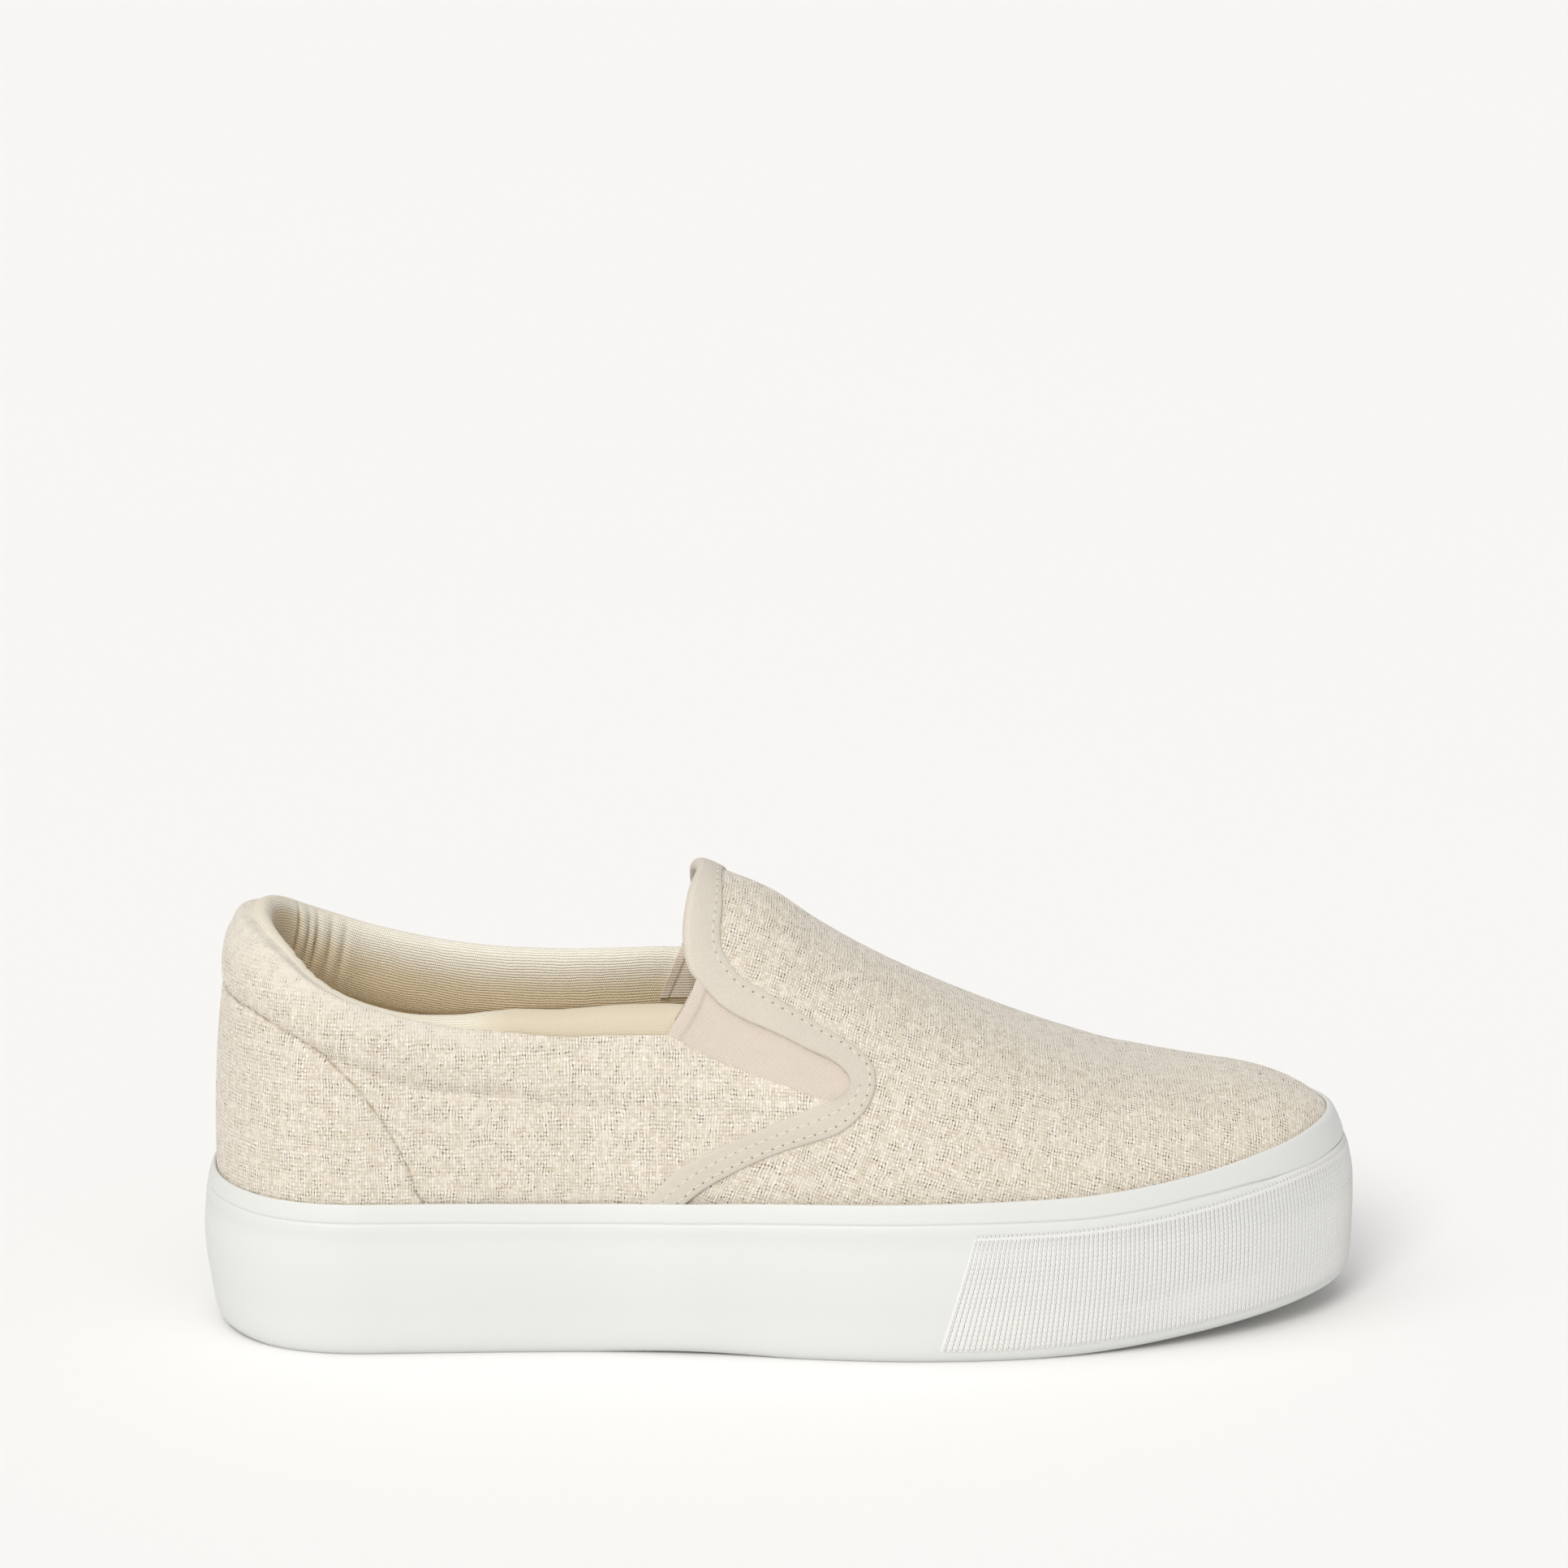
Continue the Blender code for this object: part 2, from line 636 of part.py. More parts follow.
def build_insole(parts, material):
    side, s = ring_sides()
    x = plan_x(s, UPPER_SET_IN)
    floor = along(SOLE_HEIGHTS, "footbed", x) + GAP
    rings = []
    for lift, inset in ((0.0, 0.4), (0.6, 0.0), (INSOLE_THICKNESS - 0.8, 0.0), (INSOLE_THICKNESS, 1.0)):
        ring = last_offset(side, s, v_at_height(side, s, floor + 2.0), UPPER_WALL + GAP + 0.2 + inset)
        ring[:, 2] = floor + lift
        rings.append(ring)
    return closed_rings("insole", rings, parts, material)


def main():
    for item in list(bpy.data.objects):
        bpy.data.objects.remove(item, do_unlink=True)
    parts = make_collection("canvas_slip_on_sneaker")
    cutters = make_collection("cutters")
    rubber = make_material("white_rubber", (0.84, 0.84, 0.81), 0.45)
    textured = make_material("textured_rubber", (0.80, 0.80, 0.77), 0.6)
    canvas = make_material("linen_canvas", (0.75, 0.69, 0.58), 0.9)
    elastic = make_material("elastic_gore", (0.78, 0.66, 0.56), 0.85)
    lining = make_material("lining_cloth", (0.66, 0.55, 0.40), 0.9)
    footbed = make_material("insole_cloth", (0.74, 0.64, 0.50), 0.9)
    build_sole(parts, cutters, rubber)
    bumper_solid("toe_bumper", parts, textured, 0.0, BUMPER["proud"])
    build_upper(parts, cutters, canvas)
    build_gore("gore_lateral", -1.0, parts, elastic)
    build_gore("gore_medial", 1.0, parts, elastic)
    build_collar_pad(parts, lining)
    build_insole(parts, footbed)


main()
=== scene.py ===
# A canvas slip-on sneaker on a platform sole: the looks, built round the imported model.
# The tables hold millimetres in the shoe's own frame: heel at -X, toe at +X, lateral side at -Y.
import math

import bpy
import bmesh
import numpy as np
from mathutils import Matrix, Vector


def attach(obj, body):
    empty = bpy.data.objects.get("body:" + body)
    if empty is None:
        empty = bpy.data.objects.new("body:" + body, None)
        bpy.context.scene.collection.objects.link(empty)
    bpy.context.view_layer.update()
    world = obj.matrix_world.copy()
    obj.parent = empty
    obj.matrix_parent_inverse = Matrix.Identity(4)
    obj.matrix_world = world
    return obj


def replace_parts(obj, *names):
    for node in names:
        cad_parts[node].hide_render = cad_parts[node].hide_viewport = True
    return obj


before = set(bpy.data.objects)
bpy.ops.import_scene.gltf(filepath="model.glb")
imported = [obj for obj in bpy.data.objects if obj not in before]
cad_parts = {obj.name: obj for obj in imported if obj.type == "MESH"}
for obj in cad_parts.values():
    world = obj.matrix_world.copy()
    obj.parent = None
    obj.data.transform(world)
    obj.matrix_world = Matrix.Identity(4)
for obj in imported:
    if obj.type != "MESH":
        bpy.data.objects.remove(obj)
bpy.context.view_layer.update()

mm = 0.001
lateral = -1.0
medial = 1.0

# the shoe's own shape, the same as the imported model's
shoe = {
    "length": 270.0,
    "upperSetIn": 3.3,
    "upperLift": 0.8,
    "wallHeight": 39.0,
    "insoleTop": 4.3,
    "collarHalfWidth": 30.0,
}
solePlan = {
    "x": (-135, -85, -50, -20, 5, 30, 50, 75, 100, 135),
    "centre": (0, -0.2, -1.3, -3, -3.2, -1.8, 0, 2, 3.9, 5),
    "halfWidth": (36, 36.3, 35.9, 38.2, 42.8, 47.4, 49, 49, 49, 49),
}
heelRound = {"length": 38.0, "power": 2.2}
toeRound = {"length": 85.0, "power": 2.05}
soleHeights = {
    "x": (-135, -118, -88, -52, -25, 5, 50, 65, 78, 95, 113, 124, 135),
    "underside": (1, 0, 0, 0, 0.8, 0, 0, 0.3, 1, 2.5, 4.4, 5.5, 6.4),
    "footbed": (30.5, 30.5, 30.5, 30, 29.3, 28.5, 28, 28.2, 28.8, 30.2, 32.2, 33.6, 34.6),
    "foxing": (37.5, 36.8, 36.8, 36.5, 37, 38.1, 38.9, 39, 39.6, 41.1, 43.6, 45, 45.8),
}
wallProfile = {
    "x": (0, 0.03, 0.10, 0.28, 0.45, 0.60, 0.74, 0.87, 0.95, 1),
    "inset": (4.4, 3.3, 2.3, 1.2, 0.3, 0, 0.3, 0.9, 1.6, 2.2),
    "toeInset": (3.2, 1.5, 0.7, 0.2, 0, 0.1, 0.9, 2.2, 3.4, 4.4),
}
toeWall = {"from": 70.0, "to": 128.0}
crestLine = {
    "x": (-100, -60, -35, -17.7, -2, 9, 21, 32, 44, 55, 67, 78, 90, 96),
    "y": (0, -0.5, -0.5, -0.5, 0, 0.5, 1, 1.6, 2.2, 3, 3.6, 4.2, 4.6, 4.8),
    "z": (125, 124.5, 117.5, 108.4, 101.3, 93.5, 86, 79.8, 73.8, 68.8, 63.9, 59.9, 57.1, 56.3),
}
fan = {"heelFrom": -50.0, "heelTo": -98.0, "toeFrom": 40.0, "toeTo": 96.0}
sectionShape = {
    "x": (-132, -100, -60, -17, 20, 60, 95, 125, 132),
    "fullness": (2.85, 2.7, 2.25, 2, 2.1, 2.35, 2.75, 3.2, 3.3),
}
collarTop = {
    "x": (-140, -129, -124, -118, -112, -106, -97, -87, -75, -62, -50, -36, -26),
    "lateral": (101.5, 100.2, 98, 94.6, 90.2, 86.9, 83.6, 80.8, 78.2, 76.2, 75.2, 75.5, 75.6),
    "medial": (101.5, 100.4, 98.4, 95.5, 92.6, 90.2, 87.1, 84.4, 82.1, 80.9, 80.7, 81.3, 81.9),
}
goreEdges = {
    "x": (0, 0.3, 0.65, 1),
    "lowerX": (-26.7, -15.5, -3.5, 11),
    "lowerZ": (77.7, 70.4, 66, 61.8),
    "upperX": (-20.6, -10.6, 3, 13.6),
    "upperZ": (88.2, 79.8, 73.4, 66.2),
}
goreMedialRise = 3.2
goreMedialShift = 4.6


def cubicThrough(knots, values, tangent, x):
    # between two knots, the cubic that has the value and the slope given at each
    i = np.clip(np.searchsorted(knots, x) - 1, 0, len(knots) - 2)
    width = knots[i + 1] - knots[i]
    t = (x - knots[i]) / width
    return (
        values[i] * (1 + 2 * t) * (1 - t) ** 2
        + values[i + 1] * t**2 * (3 - 2 * t)
        + tangent[i] * width * t * (1 - t) ** 2
        - tangent[i + 1] * width * t**2 * (1 - t)
    )


def monotone(knots, values, x):
    # piecewise cubic through the rows that never overshoots them
    knots = np.array(knots, float)
    values = np.array(values, float)
    x = np.clip(x, knots[0], knots[-1])
    width = np.diff(knots)
    slope = np.diff(values) / width
    tangent = np.concatenate([slope[:1], np.zeros(len(slope) - 1), slope[-1:]])
    same = slope[:-1] * slope[1:] > 0
    before = 2 * width[1:] + width[:-1]
    after = width[1:] + 2 * width[:-1]
    safe = np.where(same, slope[:-1], 1), np.where(same, slope[1:], 1)
    tangent[1:-1] = np.where(same, (before + after) / (before / safe[0] + after / safe[1]), 0)
    return cubicThrough(knots, values, tangent, x)


def along(table, name, x):
    # one column of a table at x
    return monotone(table["x"], table[name], np.asarray(x, float))


def flowing(knots, values, t):
    # cubic through points in any direction, with tangents from the points on either side
    knots = np.array(knots, float)
    values = np.array(values, float)
    return cubicThrough(knots, values, np.gradient(values, knots), np.clip(t, knots[0], knots[-1]))


def smooth(low, high, x):
    # 0 below low, 1 above high, an even S between them
    share = np.clip((x - low) / (high - low), 0, 1)
    return share**2 * (3 - 2 * share)


def bell(distance, width):
    # 1 on a line, falling away evenly on both sides of it
    return np.exp(-((distance / width) ** 2))


def roundedEnd(distance, cap):
    # a superellipse from 0 at the end of the shoe to 1 past the cap's length
    share = np.clip(1 - distance / cap["length"], 0, 1)
    return (1 - share ** cap["power"]) ** (1 / cap["power"])


def unit(vectors):
    # each vector divided by its own length
    return vectors / np.linalg.norm(vectors, axis=-1, keepdims=True)


def together(*parts):
    # coordinates side by side on a new last axis, spread over one common grid
    return np.stack(np.broadcast_arrays(*parts), -1)


def planX(s, setIn=0.0):
    # stations run from heel to toe as a half turn, so they crowd at both ends
    return -(shoe["length"] / 2 - setIn) * np.cos(math.pi * s)


def stationAt(x, setIn=0.0):
    # the other way round from planX
    return np.arccos(np.clip(-np.asarray(x, float) / (shoe["length"] / 2 - setIn), -1, 1)) / math.pi


def upperStation(x):
    # the station at which the upper's own plan line reaches x
    return stationAt(x, shoe["upperSetIn"])


def planPoint(side, s, setIn=0.0):
    # plan outline = centre line + side * half width, the half width closed by a superellipse at each end
    x = planX(s, setIn)
    heel = {**heelRound, "length": heelRound["length"] - setIn}
    toe = {**toeRound, "length": toeRound["length"] - setIn}
    end = shoe["length"] / 2 - setIn
    half = (along(solePlan, "halfWidth", x) - setIn) * roundedEnd(end + x, heel) * roundedEnd(end - x, toe)
    return x, along(solePlan, "centre", x) + side * half


def upperPlan(side, s):
    # the line where the upper leaves the sole, just inside its edge
    return planPoint(side, s, shoe["upperSetIn"])


def outline(side, s, inset, height):
    # the plan outline moved inwards along its own normal, lifted to height
    x, y = planPoint(side, s)
    step = 1e-3
    ahead = planPoint(np.where(s + step > 1, -side, side), np.where(s + step > 1, 2 - s - step, s + step))
    behind = planPoint(np.where(s - step < 0, -side, side), np.where(s - step < 0, step - s, s - step))
    tangent = unit(together(ahead[0] - behind[0], ahead[1] - behind[1]))
    x = x + side * tangent[..., 1] * inset
    y = y - side * tangent[..., 0] * inset
    return together(x, y, height)


def fanX(x, limit, reach, end):
    # crest x for a foot x past a limit: an even curve that starts level with it and ends at reach
    share = np.clip((x - limit) / (end - limit), 0, 1)
    pace = (end - limit) / (reach - limit)
    return limit + (reach - limit) * (pace * share - (pace - 1) * share**2)


def crossOver(side, s, v):
    # a point past the crest, the heel or the toe belongs to the other side
    side, s, v = np.broadcast_arrays(np.asarray(side, float), s, v)
    side = np.where((v > 1) ^ (s < 0) ^ (s > 1), -side, side)
    v = np.where(v > 1, 2 - v, np.maximum(v, 0))
    s = np.abs(s)
    return side, np.where(s > 1, 2 - s, s), v


def lastPoint(side, s, v):
    # upper surface: foot point on the inset plan, crest point on the centre line, joined by a superellipse
    side, s, v = crossOver(side, s, v)
    footX, footY = upperPlan(side, s)
    end = shoe["length"] / 2 - shoe["upperSetIn"]
    crestX = np.where(footX > fan["toeFrom"], fanX(footX, fan["toeFrom"], fan["toeTo"], end), footX)
    crestX = np.where(footX < fan["heelFrom"], fanX(footX, fan["heelFrom"], fan["heelTo"], -end), crestX)
    crestY = along(crestLine, "y", crestX)
    crestZ = along(crestLine, "z", crestX)
    fall = (crestZ - along(crestLine, "z", crestX - 2)) / 2
    footZ = along(soleHeights, "footbed", footX) + shoe["upperLift"]
    power = 2 / along(sectionShape, "fullness", footX)
    out = np.maximum(np.cos(v * math.pi / 2), 0) ** power
    up = np.sin(v * math.pi / 2) ** power
    x = crestX + (footX - crestX) * out
    y = crestY + (footY - crestY) * out
    z = footZ + (crestZ - footZ + fall * np.maximum(x - crestX, 0)) * up
    return together(x, y, z)


def lastNormal(side, s, v):
    # across the two directions of the surface, pointing out
    step = 2e-3
    side, s, v = crossOver(side, s, v)
    s = np.clip(s, step, 1 - step)
    v = np.clip(v, step, 1 - step)
    alongS = lastPoint(side, s + step, v) - lastPoint(side, s - step, v)
    alongV = lastPoint(side, s, v + step) - lastPoint(side, s, v - step)
    return unit(np.cross(alongS, alongV) * -side[..., None])


def skinPoint(side, s, v, lift):
    # the upper's surface moved along its normal, outwards where lift is positive
    side, s, v, lift = np.broadcast_arrays(np.asarray(side, float), s, v, lift)
    return lastPoint(side, s, v) + lastNormal(side, s, v) * lift[..., None]


def vAtHeight(side, s, height):
    # the v at which a section reaches a height, by halving
    low = np.zeros(np.broadcast(side, s, 0 if callable(height) else height).shape)
    high = np.ones_like(low)
    for _ in range(24):
        middle = (low + high) / 2
        point = lastPoint(side, s, middle)
        wanted = height(point) if callable(height) else height
        below = point[..., 2] < wanted
        low = np.where(below, middle, low)
        high = np.where(below, high, middle)
    return (low + high) / 2


def findOnLast(side, x, z):
    # s and v of the point seen at x and z from the side, by Newton's method
    side, x, z = np.broadcast_arrays(np.asarray(side, float), x, z)
    s = upperStation(x)
    v = vAtHeight(side, s, z)
    step = 1e-4
    for _ in range(12):
        point = lastPoint(side, s, v)
        byS = (lastPoint(side, s + step, v) - point) / step
        byV = (lastPoint(side, s, v + step) - point) / step
        missX = x - point[..., 0]
        missZ = z - point[..., 2]
        area = byS[..., 0] * byV[..., 2] - byS[..., 2] * byV[..., 0]
        s = np.clip(s + (missX * byV[..., 2] - missZ * byV[..., 0]) / area, 0.01, 0.99)
        v = np.clip(v + (missZ * byS[..., 0] - missX * byS[..., 2]) / area, 0.01, 0.99)
    return s, v


def collarHeight(point):
    # the collar's height at x, blended across from the lateral to the medial edge
    share = 0.5 + point[..., 1] / (2 * shoe["collarHalfWidth"])
    low = along(collarTop, "lateral", point[..., 0])
    return low + (along(collarTop, "medial", point[..., 0]) - low) * share


def gridFaces(rows, columns, wrapRows=False, wrapColumns=False):
    # quads of a grid, closed on itself where asked
    i = np.arange(rows if wrapRows else rows - 1)[:, None]
    j = np.arange(columns if wrapColumns else columns - 1)[None, :]
    nextI = (i + 1) % rows
    nextJ = (j + 1) % columns
    quads = [i * columns + j, i * columns + nextJ, nextI * columns + nextJ, nextI * columns + j]
    return together(*quads).reshape(-1, 4)


def addObject(name, data):
    # a new object, linked into the scene
    item = bpy.data.objects.new(name, data)
    bpy.context.scene.collection.objects.link(item)
    return item


def makePiece(name, points, faces, material, uv=None, layers=None, caps=(), weld=True, facing=None):
    # points in millimetres, quads and any caps as arrays of corners
    mesh = bpy.data.meshes.new(name)
    points = np.reshape(points, (-1, 3)) * mm
    mesh.vertices.add(len(points))
    mesh.vertices.foreach_set("co", points.ravel())
    corners = np.concatenate([faces.ravel(), *caps]).astype(np.int32)
    sizes = np.concatenate([np.full(len(faces), faces.shape[1]), [len(cap) for cap in caps]]).astype(np.int32)
    mesh.loops.add(len(corners))
    mesh.loops.foreach_set("vertex_index", corners)
    mesh.polygons.add(len(sizes))
    mesh.polygons.foreach_set("loop_start", np.concatenate([[0], np.cumsum(sizes)[:-1]]).astype(np.int32))
    mesh.update(calc_edges=True)
    if uv is not None:
        layer = mesh.uv_layers.new(name="cloth")
        layer.data.foreach_set("uv", np.reshape(uv, (-1, 2))[corners].astype(np.float32).ravel())
    for key, values in (layers or {}).items():
        layer = mesh.attributes.new(key, "FLOAT", "POINT")
        layer.data.foreach_set("value", np.ravel(values).astype(np.float32))
    mesh.materials.append(material)
    shape = bmesh.new()
    shape.from_mesh(mesh)
    if weld:
        bmesh.ops.remove_doubles(shape, verts=shape.verts, dist=2e-6)
    bmesh.ops.recalc_face_normals(shape, faces=shape.faces)
    if facing is not None and sum(face.normal.dot(Vector(facing)) for face in list(shape.faces)[::50]) < 0:
        bmesh.ops.reverse_faces(shape, faces=shape.faces)
    shape.to_mesh(mesh)
    shape.free()
    mesh.shade_smooth()
    piece = addObject(name, mesh)
    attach(piece, "root")
    return piece


def sweep(name, rings, material, uv=None, layers=None):
    # rings of points carried along a path, closed round each ring and capped at both ends
    rows, columns = rings.shape[:2]
    caps = np.arange(columns), np.arange((rows - 1) * columns, rows * columns)
    faces = gridFaces(rows, columns, wrapColumns=True)
    return makePiece(name, rings, faces, material, uv, layers, caps)


def slabRings(outer, inner):
    # turns two sheets into closed rings: up the outer sheet and back down the inner one
    return np.concatenate([outer, inner[:, ::-1]], 1)


def scatter(name, shapePoints, shapeFaces, origins, axes, material, slotName):
    # copies of one small shape, each turned by its own three axes, joined in one mesh
    points = np.einsum("kc,ncd->nkd", shapePoints, axes) + origins[:, None, :]
    faces = (shapeFaces[None] + (np.arange(len(origins)) * len(shapePoints))[:, None, None]).reshape(-1, 4)
    return makePiece(name, points, faces, material, weld=False)


def roundBead(length, radius, height, rings=5, corners=6):
    # a small closed bead along its own X axis: the root of a half sine along its length, round across
    t = np.linspace(0.12, math.pi - 0.12, rings)[:, None]
    a = np.linspace(0, 2 * math.pi, corners, endpoint=False)[None, :]
    swell = np.sin(t) ** 0.5
    points = together(-np.cos(t) * length / 2, np.cos(a) * swell * radius, np.sin(a) * swell * height)
    k = np.arange(corners // 2 - 1)
    cap = np.stack([k, k + 1, corners - 2 - k, corners - 1 - k], -1)
    faces = [gridFaces(rings, corners, wrapColumns=True), cap, cap + (rings - 1) * corners]
    return points.reshape(-1, 3), np.concatenate(faces)


def evenly(points, count):
    # the share of each curve's own parameter at which equal lengths along it fall
    steps = np.linalg.norm(np.diff(points, axis=1), axis=2)
    reached = np.concatenate([np.zeros((len(points), 1)), np.cumsum(steps, 1)], 1)
    row = np.arange(len(points))[:, None] * 2.0
    share = np.linspace(0, 1, points.shape[1])[None, :] + row
    target = np.linspace(0, 1, count)[None, :] + row
    reached = reached / reached[:, -1:] + row
    return np.interp(target.ravel(), reached.ravel(), share.ravel()).reshape(-1, count) - row


def lengths(points):
    # distance travelled along the last but one axis
    steps = np.linalg.norm(np.diff(points, axis=-2), axis=-1)
    return np.concatenate([np.zeros((*steps.shape[:-1], 1)), np.cumsum(steps, -1)], -1)


def roundLoop(rows, count):
    # smooth closed loop through the rows: a cubic between each two, its tangents from their neighbours
    rows = np.array(rows, float)
    t = np.arange(count) / count * len(rows)
    i = t.astype(int)
    f = (t - i)[:, None]
    a, b, c, d = (rows[(i + k) % len(rows)] for k in (-1, 0, 1, 2))
    return 0.5 * (2 * b + (c - a) * f + (2 * a - 5 * b + 4 * c - d) * f**2 + (3 * b - a - 3 * c + d) * f**3)


def insidePolygon(polygon, x, y):
    # even-odd rule: a point is inside if a line from it crosses the outline an odd number of times
    inside = np.zeros(np.shape(x), bool)
    for (x0, y0), (x1, y1) in zip(polygon, np.roll(polygon, -1, axis=0)):
        if y0 != y1:
            inside ^= ((y0 > y) != (y1 > y)) & (x < (x1 - x0) * (y - y0) / (y1 - y0) + x0)
    return inside


def distanceTo(line, u, w):
    # signed distance from points to a run of segments in the cloth's own plane
    point = together(np.ravel(u), np.ravel(w))
    best = np.full(len(point), np.inf)
    sign = np.ones(len(point))
    for start, stop in zip(line[:-1], line[1:]):
        run = stop - start
        share = np.clip((point - start) @ run / (run @ run), 0, 1)
        gap = point - start - share[:, None] * run
        size = np.linalg.norm(gap, axis=1)
        turn = run[0] * gap[:, 1] - run[1] * gap[:, 0]
        nearer = size < best
        best = np.where(nearer, size, best)
        sign = np.where(nearer, np.sign(turn), sign)
    return (best * sign).reshape(np.shape(u))


def waviness(u, w, size, seed):
    # slow unevenness from -1 to 1, a sum of sines in several directions
    angles = np.array([0.3, 1.4, 2.2, 2.9, 4.0]) + seed
    total = 0
    for n, angle in enumerate(angles):
        reach = size * (1 + 0.37 * n)
        total = total + np.sin((u * np.cos(angle) + w * np.sin(angle)) * 2 * math.pi / reach + 3.1 * n + seed)
    return total / len(angles)


class Wire:
    # a socket that can stand in a sum; each operator adds one Math node
    def __init__(self, finish, socket):
        self.finish = finish
        self.socket = socket

    def apply(self, operation, *others):
        # one Math node, with this socket first
        return self.finish.add("ShaderNodeMath", {"operation": operation}, dict(enumerate([self, *others])))

    def __add__(self, other):
        return self.apply("ADD", other)

    def __radd__(self, other):
        return self.apply("ADD", other)

    def __sub__(self, other):
        return self.apply("SUBTRACT", other)

    def __rsub__(self, other):
        return self.finish.add("ShaderNodeMath", {"operation": "SUBTRACT"}, {0: other, 1: self})

    def __mul__(self, other):
        return self.apply("MULTIPLY", other)

    def __rmul__(self, other):
        return self.apply("MULTIPLY", other)

    def __truediv__(self, other):
        return self.apply("DIVIDE", other)

    def __pow__(self, other):
        return self.apply("POWER", other)


class Finish:
    # one material: its nodes are added by type, settings and socket values
    def __init__(self, name, roughness, **constants):
        self.material = bpy.data.materials.new(name)
        self.material.use_nodes = True
        self.tree = self.material.node_tree
        self.shader = self.tree.nodes["Principled BSDF"]
        self.shader.inputs["Roughness"].default_value = roughness
        for key, value in constants.items():
            self.shader.inputs[key.replace("_", " ")].default_value = value

    def put(self, target, value):
        # a link for a wire, a value for anything else
        if isinstance(value, Wire):
            self.tree.links.new(value.socket, target)
        elif isinstance(value, tuple) and len(value) == 3 and target.type == "RGBA":
            target.default_value = (*value, 1.0)
        else:
            target.default_value = value

    def add(self, kind, settings, values, output=0):
        # one node, whose output comes back as a wire
        node = self.tree.nodes.new(kind)
        for key, value in settings.items():
            setattr(node, key, value)
        for key, value in values.items():
            self.put(node.inputs[key], value)
        return Wire(self, node.outputs[output])

    def parts(self, wire):
        # the three numbers of a vector
        split = self.tree.nodes.new("ShaderNodeSeparateXYZ")
        self.tree.links.new(wire.socket, split.inputs[0])
        return [Wire(self, output) for output in split.outputs]

    def cloth(self):
        # the piece's own cloth coordinates, in millimetres
        return self.parts(self.add("ShaderNodeUVMap", {"uv_map": "cloth"}, {}))[:2]

    def place(self):
        # the point itself, in metres
        return self.add("ShaderNodeTexCoord", {}, {}, output="Object")

    def layer(self, name):
        # a value stored at the mesh's points
        return self.add("ShaderNodeAttribute", {"attribute_name": name}, {}, output="Fac")

    def vector(self, x, y, z=0.0):
        return self.add("ShaderNodeCombineXYZ", {}, {0: x, 1: y, 2: z})

    def noise(self, vector, scale, detail=2.0, roughness=0.5):
        values = {"Vector": vector, "Scale": scale, "Detail": detail, "Roughness": roughness}
        return self.add("ShaderNodeTexNoise", {}, values)

    def random(self, number):
        # another number from 0 to 1 for every number
        return self.add("ShaderNodeTexWhiteNoise", {"noise_dimensions": "1D"}, {"W": number})

    def spread(self, wire, low, high, toLow=0.0, toHigh=1.0):
        # an even S from one range to another
        values = {0: wire, 1: low, 2: high, 3: toLow, 4: toHigh}
        return self.add("ShaderNodeMapRange", {"interpolation_type": "SMOOTHSTEP"}, values)

    def mix(self, share, first, second):
        # from the first colour to the second by a share
        return self.add("ShaderNodeMix", {"data_type": "RGBA"}, {0: share, 6: first, 7: second}, output=2)

    def bump(self, height, distance):
        # a normal tilted by the slope of a height
        return self.add("ShaderNodeBump", {}, {"Height": height, "Distance": distance})

    def finish(self, colour=None, roughness=None, normal=None):
        # links what is given to the shader
        for key, value in (("Base Color", colour), ("Roughness", roughness), ("Normal", normal)):
            if value is not None:
                self.put(self.shader.inputs[key], value)
        return self.material


def plainWeave(f, u, w, pitch, wobble):
    # height of a plain weave: two sets of yarns cross at right angles, each rounded across, and at every
    # second crossing the other set is on top
    drift = f.noise(f.vector(u, w), 0.12, 4.0, 0.62)
    otherDrift = f.noise(f.vector(w + 31.0, u + 17.0), 0.12, 4.0, 0.62)
    p = (u + (drift - 0.5) * wobble) / pitch
    q = (w + (otherDrift - 0.5) * wobble) / pitch
    shareP = p - p.apply("FLOOR")
    shareQ = q - q.apply("FLOOR")
    weftUp = (p.apply("FLOOR") + q.apply("FLOOR")).apply("FLOORED_MODULO", 2.0)
    warp = (1 - (shareP * 2 - 1) ** 2.0) * ((shareQ * math.pi).apply("SINE") * 0.45 + 0.55)
    weft = (1 - (shareQ * 2 - 1) ** 2.0) * ((shareP * math.pi).apply("SINE") * 0.45 + 0.55)
    return warp * (1 - weftUp) + weft * weftUp


linen = {
    "pitch": (0.68, 0.92),
    "light": (0.735, 0.68, 0.592),
    "dark": (0.60, 0.525, 0.415),
    # painted shade for the dips between yarns
    "gap": (0.40, 0.315, 0.205),
    # painted shade in the openings between yarns
    "hole": (0.13, 0.09, 0.055),
    "pale": (0.92, 0.88, 0.80),
    # painted shadow along the counter panel's seam
    "seam": (0.36, 0.28, 0.19),
    "depth": 0.0002,
}


